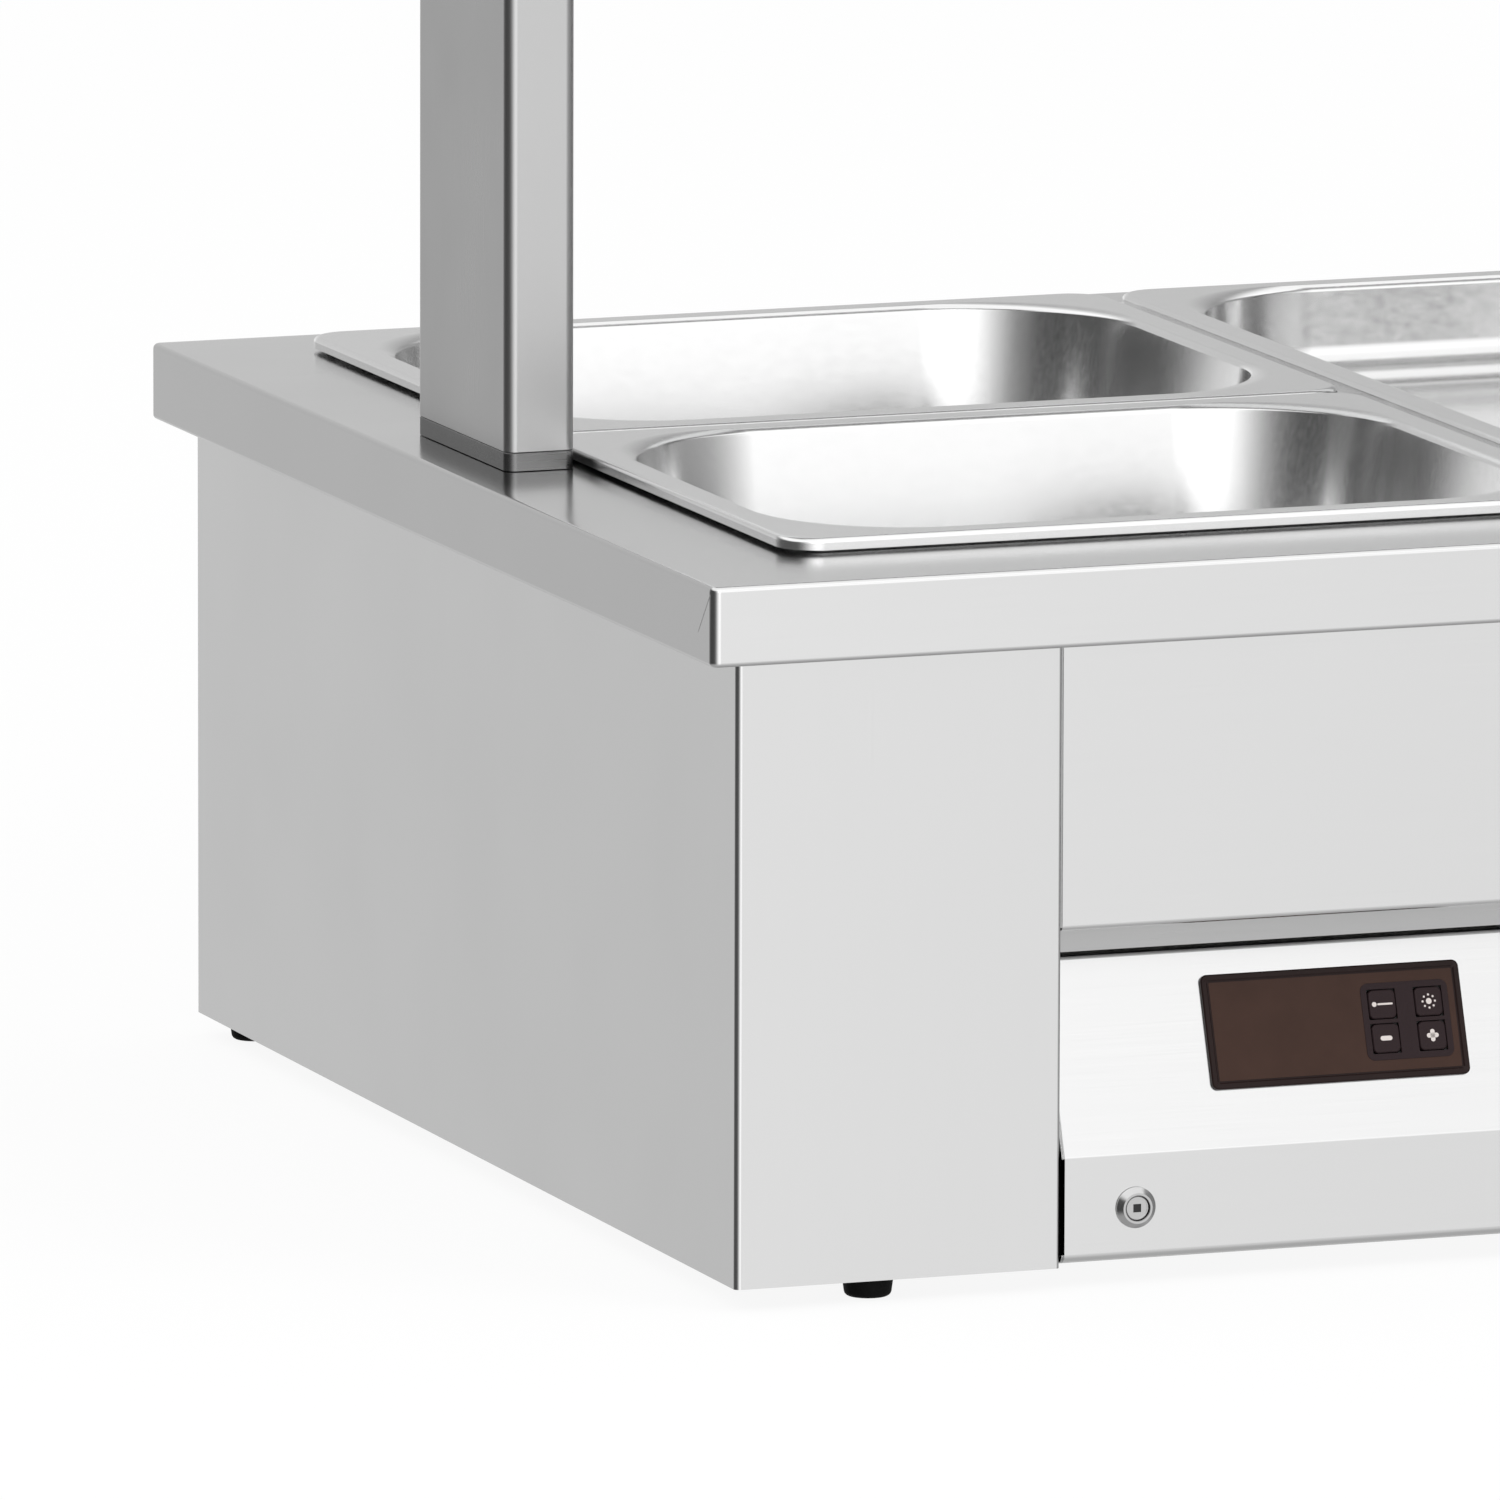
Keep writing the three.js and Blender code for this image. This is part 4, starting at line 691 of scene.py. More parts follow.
def drawn_steel(name, colour_value, side_shade=(1, 1, 1)):
    """Deep-drawn stainless, polished: mirror-like, with a faint orange peel where the draw stretched it.

    Light scratches from ladles lie every way; they are drawn 0.4 mm wide to show.
    """
    scratch, wave, peel = 0.4 * MM, 30 * MM, 4 * MM
    wave_depth, peel_depth = 0.02 * MM, 0.0015 * MM
    material, tree, shader = blank(name)
    scratches = noise(tree, scratch, 4.0, (14, 3, 8))
    scratched = shaded(tree, colour_value, 0.04, scratches)
    # The base colour carries painted side shade: each side is darker or lighter by which way it faces.
    fill(tree, shader, {"Base Color": painted_side_shade(tree, scratched, side_shade),
                        "Roughness": spread(tree, scratches, 0.17, 0.23), "Metallic": 1.0})
    bumped(tree, shader, (noise(tree, wave, 1.0), wave_depth), (noise(tree, peel, 1.0), peel_depth))
    return material


def turned_steel(name, colour_value, roughness=0.16):
    """Machined steel, polished after turning: small wandering marks and a bright face."""
    mark, mark_depth = 0.6 * MM, 0.001 * MM
    material, tree, shader = blank(name)
    marks = noise(tree, mark, 3.0)
    fill(tree, shader, {"Base Color": shaded(tree, colour_value, 0.06, marks),
                        "Roughness": spread(tree, marks, roughness * 0.8, roughness * 1.3),
                        "Metallic": 1.0})
    bumped(tree, shader, (marks, mark_depth))
    return material


def moulded(name, colour_value, roughness, grain=0.35, depth=0.01, ior=1.5, specular=0.5):
    """Moulded plastic with the fine spark-eroded grain of its tool, slightly paler on the high spots.

    Grain and depth are in millimetres.
    """
    material, tree, shader = blank(name)
    spots = noise(tree, grain * MM, 2.0)
    fill(tree, shader, {"Base Color": shaded(tree, colour_value, 0.15, spots),
                        "Roughness": spread(tree, spots, roughness * 0.9, roughness * 1.1),
                        "IOR": ior, "Specular IOR Level": specular})
    bumped(tree, shader, (spots, depth * MM))
    return material


def smoked_acrylic(name, colour_value):
    """Cast acrylic, smoked brown, over a dark board: glossy, with faint lighter clouds behind it."""
    cloud, wave, wave_depth = 14 * MM, 25 * MM, 0.01 * MM
    material, tree, shader = blank(name)
    fill(tree, shader, {"Base Color": shaded(tree, colour_value, 0.3, noise(tree, cloud, 2.0)),
                        "Roughness": 0.2, "IOR": 1.49, "Specular IOR Level": 0.12})
    bumped(tree, shader, (noise(tree, wave, 1.0), wave_depth))
    return material


def mineral_wool(name, colour_value):
    """Pressed mineral wool: matted fibres a few millimetres long, uneven in colour."""
    fibre, clump = 0.8 * MM, 12 * MM
    fibre_depth, clump_depth = 0.5 * MM, 1.5 * MM
    material, tree, shader = blank(name)
    fibres = noise(tree, fibre, 5.0, (6, 1, 1))
    clumps = noise(tree, clump, 3.0)
    mixed = add(tree, "ShaderNodeMath", {0: fibres, 1: clumps}, operation="MULTIPLY").outputs[0]
    fill(tree, shader, {"Base Color": shaded(tree, colour_value, 0.5, spread(tree, mixed, 0.0, 2.0)),
                        "Roughness": 0.95})
    bumped(tree, shader, (clumps, clump_depth), (fibres, fibre_depth))
    return material


def clear_glass(name, colour_value, roughness=0.02):
    """Clear toughened glass: thin enough to look colourless face on and green along its edge."""
    smear = 60 * MM
    material, tree, shader = blank(name)
    dust = spread(tree, noise(tree, smear, 3.0), roughness, roughness * 2)
    fill(tree, shader, {"Base Color": (*colour_value, 1), "Roughness": dust,
                        "Transmission Weight": 1.0, "IOR": 1.52})
    return material


# The shares for faces across x, y and z in these finishes are painted shade and painted brightness, by
# which way a face looks.
finish_table = {
    "brushed_sheet_lengthwise": (rolled_sheet, "sheet_steel",
                                 dict(roughness=0.2, along="x", side_shade=(1, 1.07, 1))),
    "brushed_sheet_crosswise": (rolled_sheet, "sheet_steel", dict(roughness=0.2, along="y")),
    "brushed_sheet_upright": (rolled_sheet, "sheet_steel",
                              dict(roughness=0.2, along="z", side_shade=(1, 1.05, 1))),
    "brushed_post": (rolled_sheet, "post_steel",
                     dict(roughness=0.3, along="z", side_shade=(0.82, 1, 1), grain=0.3)),
    # Rougher sheet whose darker colour is painted shade of the finger recess.
    "painted_shade_recess_sheet": (rolled_sheet, "recess_steel", dict(roughness=0.3, along="x")),
    "brushed_collar": (rolled_sheet, "collar", dict(roughness=0.3, along="x", side_shade=(0.6, 1, 1))),
    "bright_worktop": (rolled_sheet, "worktop_steel",
                       dict(roughness=0.18, along="x", side_shade=(0.89, 1.22, 0.92))),
    "rolled_tank_sheet": (rolled_sheet, "tank_steel", dict(roughness=0.35, along="x")),
    "polished_reflector": (rolled_sheet, "reflector", dict(roughness=0.1, along="x")),
    "polished_drawn_pan": (drawn_steel, "drawn_steel", dict(side_shade=(1, 1, 0.8))),
    "turned_steel": (turned_steel, "turned_steel", {}),
    "nickelled_brass": (turned_steel, "nickel", dict(roughness=0.2)),
    "tungsten_wire": (turned_steel, "filament", dict(roughness=0.4)),
    "smoked_acrylic": (smoked_acrylic, "smoked_acrylic", {}),
    "back_printed_acrylic": (smoked_acrylic, "dark_border", {}),
    "keypad_foil": (moulded, "membrane", dict(roughness=0.3, grain=0.3, depth=0.002, specular=0.12)),
    "printed_legend": (moulded, "legend", dict(roughness=0.5)),
    "black_plastic": (moulded, "black_plastic", dict(roughness=0.45)),
    "grey_polyamide": (moulded, "grey_plastic", dict(roughness=0.55)),
    "moulded_rubber": (moulded, "rubber",
                       dict(roughness=0.7, grain=0.6, depth=0.02, ior=1.52, specular=0.15)),
    "dipped_vinyl": (moulded, "vinyl", dict(roughness=0.4, grain=2, depth=0.02, ior=1.53)),
    "fired_steatite": (moulded, "steatite", dict(roughness=0.6, grain=0.5, depth=0.01, ior=1.55)),
    "mineral_wool": (mineral_wool, "wool", {}),
    "toughened_glass": (clear_glass, "glass", {}),
    "quartz_tube": (clear_glass, "quartz", dict(roughness=0.01)),
}


class Finishes:
    """Every finish of the unit, made once when first asked for."""

    made = {}

    @classmethod
    def get(cls, name):
        """Finds a finish by its name, and makes it from the sidebar's colours if there is none yet."""
        if name not in cls.made:
            maker, tone, settings = finish_table[name]
            cls.made[name] = maker(name, getattr(bpy.context.scene.bain_marie_finishes, tone), **settings)
        return cls.made[name]


# The stage

def studio_level(tree, direction, settings):
    """Brightness in reflections: dark sides, to which front and rear add by the fifth power of y, both
    brighter further up, to which the right side adds by x, and the ceiling and the floor by z.
    """
    x, y, z = add(tree, "ShaderNodeSeparateXYZ", {0: direction}).outputs

    def towards(end):
        share = add(tree, "ShaderNodeMapRange", {0: y, 1: 0.0, 2: end}).outputs[0]
        return add(tree, "ShaderNodeMath", {0: share, 1: 5.0}, operation="POWER").outputs[0]

    def rising(along, span, start, end):
        return add(tree, "ShaderNodeMapRange", {0: along, 1: span[0], 2: span[1], 3: start, 4: end},
                   interpolation_type="SMOOTHSTEP").outputs[0]

    front = rising(z, front_span, settings.front_level, settings.front_level * settings.raised_front)
    rear = rising(z, rear_span, settings.rear_level, settings.rear_level * settings.raised_rear)
    right = rising(x, right_span, 0.0, settings.right_level)
    top = rising(z, top_span, 0.0, settings.top_level)
    below = rising(z, floor_span, settings.floor_level, 0.0)
    total = settings.side_level
    parts = ((front, towards(-1.0)), (rear, towards(1.0)), (right, 1.0), (top, 1.0), (below, 1.0))
    for amount, weight in parts:
        total = add(tree, "ShaderNodeMath", {0: amount, 1: weight, 2: total},
                    operation="MULTIPLY_ADD").outputs[0]
    return total


def background_rays(tree):
    """The outputs that tell rays apart, and 1 for the camera's rays and those through glass."""
    path = add(tree, "ShaderNodeLightPath").outputs
    clear = add(tree, "ShaderNodeMath", {0: path["Is Camera Ray"], 1: path["Is Transmission Ray"]},
                operation="MAXIMUM").outputs[0]
    return path, clear


def studio_world(settings):
    """A white background for the camera, and for the object a soft studio with a bright front."""
    world = bpy.data.worlds.new("studio")
    bpy.context.scene.world = world
    world.use_nodes = True
    tree = world.node_tree
    tree.nodes.clear()
    seen = studio_level(tree, add(tree, "ShaderNodeTexCoord").outputs["Generated"], settings)
    path, clear = background_rays(tree)
    lit = add(tree, "ShaderNodeMix", {0: path["Is Glossy Ray"], 2: settings.soft_level, 3: seen},
              data_type="FLOAT").outputs[0]
    strength = add(tree, "ShaderNodeMix", {0: clear, 2: lit, 3: 1.0}, data_type="FLOAT").outputs[0]
    sky = add(tree, "ShaderNodeBackground", {0: (1, 1, 1, 1), 1: strength})
    add(tree, "ShaderNodeOutputWorld", {0: sky.outputs[0]})


def paper_floor():
    """Pale matt paper: white to the camera but for the object's shadow."""
    material, tree, shader = blank("pale_paper")
    fill(tree, shader, {"Base Color": (*linear("FAFAFA"), 1), "Roughness": 0.9})
    glow = add(tree, "ShaderNodeEmission", {0: (1, 1, 1, 1), 1: 1.0}).outputs[0]
    clear = background_rays(tree)[1]
    white = add(tree, "ShaderNodeMath", {0: clear, 1: glow_share}, operation="MULTIPLY").outputs[0]
    mixed = add(tree, "ShaderNodeMixShader", {0: white, 1: shader.outputs[0], 2: glow}).outputs[0]
    tree.links.new(mixed, tree.nodes["Material Output"].inputs["Surface"])
    return material


class BAINMARIE_OT_stage(Operator):
    """Sets up the floor, the soft light and the camera at the photograph's viewing angle"""

    bl_idname = "bain_marie.stage"
    bl_label = "Stage"

    def execute(self, context):
        settings = context.scene.bain_marie_stage
        context.scene.view_settings.view_transform = "Standard"
        studio_world(settings)
        self.add_floor(settings)
        self.add_lamps()
        self.add_camera(context, settings)
        return {"FINISHED"}

    def add_floor(self, settings):
        """One large square that the feet stand on; steel mirrors the studio, not the paper."""
        reach = settings.floor
        corners = [(-reach, -reach, 0), (reach, -reach, 0), (reach, reach, 0), (-reach, reach, 0)]
        mesh = bpy.data.meshes.new("floor")
        mesh.from_pydata(corners, [], [(0, 1, 2, 3)])
        mesh.materials.append(paper_floor())
        floor = bpy.data.objects.new("floor", mesh)
        floor.visible_glossy = False
        bpy.context.scene.collection.objects.link(floor)

    def add_lamps(self):
        """Two large soft boxes: the key from the front right, the fill from the front left, both above."""
        for name, place, power, size in soft_boxes:
            lamp = bpy.data.lights.new(name, "AREA")
            lamp.energy = power
            lamp.size = size
            holder = bpy.data.objects.new(name, lamp)
            back = np.array(place) - lamps_aim
            right = np.cross((0, 0, 1), back)
            right /= np.linalg.norm(right)
            back /= np.linalg.norm(back)
            holder.matrix_world = Matrix(np.column_stack([right, np.cross(back, right), back])).to_4x4()
            holder.location = place
            holder.visible_glossy = False
            bpy.context.scene.collection.objects.link(holder)

    def add_camera(self, context, settings):
        """Places the camera from the angles and the distance to the worktop's front left corner."""
        a, e, r = settings.azimuth, settings.elevation, settings.roll
        right = np.array([np.cos(a), -np.sin(a), 0])
        back = np.array([-np.sin(a) * np.cos(e), -np.cos(a) * np.cos(e), np.sin(e)])
        up = np.cross(back, right)
        turned_right = np.cos(r) * right + np.sin(r) * up
        turned_up = np.cos(r) * up - np.sin(r) * right
        corner = box("worktop")[0] + (0, 0, context.scene.bain_marie_worktop.lip)
        aside = settings.aim_right * turned_right + settings.aim_up * turned_up
        camera = bpy.data.cameras.new("camera")
        camera.lens = settings.lens
        camera.sensor_width = 36
        camera.clip_end = 100
        holder = bpy.data.objects.new("camera", camera)
        bpy.context.scene.collection.objects.link(holder)
        turn = Matrix(np.column_stack([turned_right, turned_up, back])).to_4x4()
        holder.matrix_world = Matrix.Translation(corner - aside + settings.distance * back) @ turn
        context.scene.camera = holder


# The well

class BAINMARIE_OT_worktop(Operator):
    """Builds the worktop: flat top, folded and hemmed lips, and the raised bead round the opening"""

    bl_idname = "bain_marie.worktop"
    bl_label = "Worktop"

    def execute(self, context):
        s = context.scene.bain_marie_worktop
        low, high = box("worktop")
        top, least_corner = low[2] + s.lip, 0.2 * MM
        well_low, well_high = box("well_tank")
        bead, lips = self.bead(s, top), self.lips(s)
        around_well = rounded_rings(well_low, well_high, bead[:, 0], s.opening_corner, bead[:, 1])
        corner = np.maximum(s.corner - lips[:, 0], least_corner)
        around_top = rounded_rings(low, high, lips[:, 0], corner, top + lips[:, 1])
        mesh = mesh_of("worktop_sheet", skin(np.concatenate([around_well, around_top]), True))
        mesh = cut(mesh, merged(self.notches(s, well_low, well_high, top), *self.seams(s, low, top)))
        add_piece("worktop_sheet", mesh, "bright_worktop", stands_for=["worktop"], slot="satin_steel")
        return {"FINISHED"}

    def bead(self, s, top):
        """The bead's bent profile: up inside the opening, over, and down to the flat top."""
        inner, over = s.bead_inset + s.bead_width, top + s.bead_height
        corners = [(inner, top - s.sheet), (inner, over), (s.bead_inset, over), (s.bead_inset, top),
                   (-s.bead_inset, top)]
        return bent_line(corners, [s.bead_bend, s.bead_bend, s.bead_bend / 2])[0]

    def lips(self, s):
        """The lips' bent profile: off the flat top, down and round into the hem, and back inside."""
        reach = s.lip_bend + s.corner
        corners = [(reach, 0), (0, 0), (0, -s.lip), (s.hem, -s.lip)]
        return doubled(corners, [s.lip_bend, s.hem_bend], s.sheet)

    def notches(self, s, well_low, well_high, top):
        """Blocks that lower the bead where pan rims meet, and the cable hole under each post."""
        centre = (well_low + well_high) / 2
        floor, roof, half = top + s.notch_floor, top + 2 * s.bead_height, s.notch / 2
        blocks = [block((well_low[0], centre[1] - half, floor), (well_high[0], centre[1] + half, roof))]
        holes = []
        for side, _ in SIDES:
            x = middle(f"{side}_column_bar")[0]
            blocks.append(block((x - half, well_low[1], floor), (x + half, well_high[1], roof)))
            post = middle(f"{side}_post")
            holes.append(rod(s.cable_hole, top - 2 * s.bead_height, roof, (post[0], post[1], 0), "z"))
        return merged(*blocks, *holes)

    def seams(self, s, low, top):
        """Shallow slanting grooves where the welded tabs close the lips' front corners."""
        start = np.array([low[1] + s.seam_lead, top - s.lip_bend])
        end = np.array([low[1] + s.seam_lead + s.seam_run, top - s.seam_drop])
        ahead = (end - start) / np.linalg.norm(end - start)
        across = np.array([-ahead[1], ahead[0]]) * s.seam_width / 2
        outline = [start - across, end - across, end + across, start + across]
        xs = [sign * abs(low[0]) for _, sign in SIDES]
        return [prism(outline, x - s.seam_depth, x + s.seam_depth, "x") for x in xs]


class BAINMARIE_OT_pans(Operator):
    """Builds the five drawn pans with rolled rims, drafted walls and rounded floors"""

    bl_idname = "bain_marie.pans"
    bl_label = "Pans"

    def execute(self, context):
        s = context.scene.bain_marie_pans
        named = frame["record"]["behaviour"]["bodies"].items()
        bodies = {node: body for body, nodes in named for node in nodes}
        pans = [f"{row}_{side}_pan" for row in ("front", "rear") for side, _ in SIDES] + ["middle_pan"]
        for node in pans:
            self.add_pan(s, node, bodies[node])
        return {"FINISHED"}

    def add_pan(self, s, node, body):
        """The wall's bent profile round a rounded rectangle whose corners tighten towards the floor."""
        low, high = box(node)
        room = np.array([s.play, s.play, 0])
        low, high = low + room, high - room
        mouth = s.flange + s.sheet
        foot = mouth + (s.shallow_draft if node == "middle_pan" else s.draft)
        floor, edge = low[2] + s.sheet, high[2] - s.rim_drop
        start = foot + s.floor_bend + s.floor_run
        corners = [(start, floor), (foot, floor), (mouth, high[2]), (0, high[2]), (0, edge)]
        profile = doubled(corners, [s.floor_bend, s.mouth_bend, s.rim_bend], s.sheet, fold_steps)
        radius = np.interp(profile[:, 0], [0, s.rim_bend, mouth, start],
                           [s.rim_corner, s.rim_corner, s.mouth_corner, s.floor_corner])
        rings = rounded_rings(low, high, profile[:, 0], radius, profile[:, 1], rim_steps)
        add_piece(f"{node}_drawn", skin(rings), "polished_drawn_pan", body, [node], "drawn_steel")


class BAINMARIE_OT_well(Operator):
    """Finishes the tank, its shield, insulation and bars, and builds the heating elements under it"""

    bl_idname = "bain_marie.well"
    bl_label = "Well"

    def execute(self, context):
        for node in ("well_tank", "heat_shield"):
            refinish(node, "rolled_tank_sheet")
        refinish("insulation_mat", "mineral_wool")
        for side, _ in SIDES:
            refinish(f"{side}_column_bar", "brushed_sheet_crosswise")
            refinish(f"{side}_row_bar", "brushed_sheet_lengthwise")
        for i in (1, 2, 3):
            self.add_element(f"heating_element_{i}")
        self.add_probe()
        self.add_thermostat()
        return {"FINISHED"}

    def add_element(self, node):
        """A round tube along a flat path of four runs with half-round turns between them."""
        low, high = box(node)
        radius = (high[2] - low[2]) / 2
        runs, roundness, turn_steps = 4, 0.999, 12
        pitch = (high[0] - low[0] - 2 * radius) / (runs - 1)
        turn = pitch / 2
        front, rear = low[1] + radius, high[1] - radius
        x = low[0] + radius + pitch * np.repeat(np.arange(runs), 2)
        y = np.tile([front, rear, rear, front], runs // 2)
        y[0], y[-1] = low[1] + turn, low[1] + turn
        flat = bent_line(np.column_stack([x, y]), turn * roundness, turn_steps)[0]
        path = np.column_stack([flat, np.full(len(flat), (low[2] + high[2]) / 2)])
        add_piece(f"{node}_tube", tube(path, radius, (0, 0, 1)), "turned_steel", stands_for=[node],
                  slot="turned_steel")

    def add_probe(self):
        """The temperature probe: a rod with a rounded tip and a crimped sleeve."""
        low, high = box("temperature_probe")
        radius, run, edge = (high[2] - low[2]) / 2, high[1] - low[1], 0.2 * MM
        stem, crimp, crimp_end = radius * 0.8, run * 0.3, run * 0.33
        corners = [(0, 0), (radius, 0), (radius, crimp), (stem, crimp_end), (stem, run), (0, run)]
        profile = softened(corners, [radius * 0.4, edge, edge, radius * 0.5])
        x, _, z = middle("temperature_probe")
        add_piece("temperature_probe_rod", turned(profile, (x, low[1], z), "y"), "turned_steel",
                  stands_for=["temperature_probe"], slot="turned_steel")

    def add_thermostat(self):
        """The safety thermostat: a moulded drum with a reset pin."""
        low, high = box("safety_thermostat")
        radius, depth, edge = (high[0] - low[0]) / 2, high[1] - low[1], 0.4 * MM
        pin, neck, drum = radius / 4, radius * 0.75, depth * 0.62
        face, step = depth - drum, depth - drum * 0.7
        corners = [(0, 0), (pin, 0), (pin, face), (neck, face), (neck, step), (radius, step),
                   (radius, depth), (0, depth)]
        x, _, z = middle("safety_thermostat")
        add_piece("safety_thermostat_drum", turned(softened(corners, edge), (x, low[1], z), "y"),
                  "black_plastic", stands_for=["safety_thermostat"], slot="black_plastic")


# The cabinet

class BAINMARIE_OT_cabinet(Operator):
    """Builds the cabinet's folded sheets, its feet and the screws of its rear panel"""

    bl_idname = "bain_marie.cabinet"
    bl_label = "Cabinet"

    def execute(self, context):
        s = context.scene.bain_marie_cabinet
        for side, sign in SIDES:
            self.add_casing(s, f"{side}_end_casing", sign)
        self.add_front_panel(s)
        self.add_joint_laps(s)
        refinish("rear_panel", "brushed_sheet_lengthwise")
        self.add_base_tray(s)
        for row in ("front", "rear"):
            for side, _ in SIDES:
                self.add_foot(s, f"{row}_{side}_foot")
        self.add_rear_screws(s)
        return {"FINISHED"}

    def add_casing(self, s, node, sign):
        """An end casing: one sheet folded in plan, from the return beside the flap to the rear return."""
        low, high = box(node)
        inner, outer = (low[0], high[0]) if sign > 0 else (high[0], low[0])
        path = [(inner, low[1] + s.casing_return), (inner, low[1]), (outer, low[1]), (outer, high[1]),
                (outer - sign * s.rear_return, high[1])]
        outline = folded(path, [s.joint_bend, s.bend, s.bend], s.sheet, sign)
        add_piece(f"{node}_sheet", prism(outline, low[2], high[2], "z"), "brushed_sheet_upright",
                  stands_for=[node], slot="satin_steel")

    def add_base_tray(self, s):
        """The floor: one sheet folded along its length, with a rib in front and an upstand at the rear.

        It is slotted round the end casings' returns, and its front edge stays behind the flap's fold.
        """
        low, high = box("base_tray")
        front = box("front_panel")[0][1]
        start = front + s.rib_setback + s.sheet
        end = front + s.rib_setback + s.rib_width - s.sheet
        rib, level = low[2] + s.rib_height - s.sheet, low[2]
        path = [(front + s.tray_setback, level), (start, level), (start, rib), (end, rib), (end, level),
                (high[1], level), (high[1], high[2])]
        outline = folded(path, s.bend - s.sheet, s.sheet, 1)
        mesh = mesh_of("base_tray_sheet", prism(outline, low[0], high[0], "x"))
        slots = merged(*[self.tray_slot(s, side, sign, low[2], rib) for side, sign in SIDES])
        add_piece("base_tray_sheet", cut(mesh, slots), "rolled_tank_sheet", stands_for=["base_tray"],
                  slot="satin_steel")

    def tray_slot(self, s, side, sign, floor, rib):
        """A block round an end casing's return, half a sheet wider than it on each side."""
        low, high = box(f"{side}_end_casing")
        inner = low[0] if sign > 0 else high[0]
        left, right = sorted((inner - sign * s.sheet / 2, inner + sign * 1.5 * s.sheet))
        return block((left, low[1], floor - s.sheet),
                     (right, low[1] + s.casing_return + s.sheet / 2, rib + 2 * s.sheet))

    def add_front_panel(self, s):
        """The upper front panel: flange, face, the recess's ceiling and the strip behind the fingers."""
        low, high = box("front_panel")
        front, back = low[1], low[1] + s.recess_depth
        ceiling = low[2] + s.recess_height
        joint = back - 3 * s.bend
        face = [(front + s.top_flange, high[2]), (front, high[2]), (front, ceiling), (joint, ceiling)]
        strip = [(joint, ceiling), (back, ceiling), (back, low[2])]
        add_piece("front_panel_sheet", prism(folded(face, s.bend, s.sheet, 1), low[0], high[0], "x"),
                  "brushed_sheet_lengthwise", stands_for=["front_panel"], slot="satin_steel")
        # The strip behind the fingers has a darker colour as painted shade of the recess.
        add_piece("recess_strip", prism(folded(strip, s.bend, s.sheet, 1), low[0], high[0], "x"),
                  "painted_shade_recess_sheet", slot="satin_steel")

    def add_joint_laps(self, s):
        """A strip behind each upright joint, where an end casing laps behind the front panel."""
        low, high = box("front_panel")
        front = low[1] + s.sheet + s.lap_gap
        bottom = low[2] + s.recess_height + s.sheet + s.lap_gap
        top = high[2] - s.sheet - s.lap_gap
        for side, sign in SIDES:
            casing_low, casing_high = box(f"{side}_end_casing")
            inner = casing_low[0] if sign > 0 else casing_high[0]
            left, right = sorted((inner - sign * s.lap_gap, inner - sign * s.lap_width))
            add_piece(f"{side}_joint_lap", block((left, front, bottom), (right, front + s.sheet, top)),
                      "brushed_sheet_lengthwise", slot="satin_steel")

    def add_foot(self, s, node):
        """A tapered rubber foot with a rounded lower edge and a small dimple in its sole."""
        low, high = box(node)
        top, rise = (high[0] - low[0]) / 2, high[2] - low[2]
        sole, dimple, dimple_edge, top_edge = top * 0.88, 1 * MM, 0.4 * MM, 0.3 * MM
        corners = [(0, dimple), (sole * 0.35, dimple), (sole * 0.45, 0), (sole, 0), (top, rise),
                   (0, rise)]
        profile = softened(corners, [dimple_edge, dimple_edge, s.foot_edge, top_edge])
        x, y, _ = middle(node)
        add_piece(f"{node}_rubber", turned(profile, (x, y, low[2]), "z"), "moulded_rubber",
                  stands_for=[node], slot="foot_rubber")

    def add_rear_screws(self, s):
        """Domed heads with hexagon sockets along the rear panel's ends and lower edge."""
        low, high = box("rear_panel")
        profile = np.array(domed_head) * s.screw
        xs = np.linspace(low[0] + s.screw_margin, high[0] - s.screw_margin, 5)
        zs = (low[2] + s.screw_margin * 1.4, high[2] - 4 * s.screw_margin)
        heads = [turned(profile, (x, high[1], z), "y", domed_sides, 36) for x in xs for z in zs]
        add_piece("rear_panel_screws", merged(*heads), "turned_steel", slot="turned_steel")


# The control flap

def slope_frame(s):
    """The turn from the sloped face's own axes (across, up the slope, out of it), and their origin."""
    low, _ = box("control_flap")
    depth = bpy.context.scene.bain_marie_cabinet.recess_depth
    lean = np.arctan2(depth, s.slope)
    turn = np.array([[1, 0, 0], [0, np.sin(lean), -np.cos(lean)], [0, np.cos(lean), np.sin(lean)]])
    return turn, np.array([0, low[1], low[2] + s.lower_face])


def slope_place(s, node):
    """A node's lowest and highest corner in the sloped face's own axes."""
    turn, origin = slope_frame(s)
    points = points_of(node) @ turn - origin @ turn
    return points.min(0), points.max(0)


def on_slope(s, surface):
    """A surface moved from the sloped face's own axes to its place."""
    turn, origin = slope_frame(s)
    return moved(surface, turn, origin)


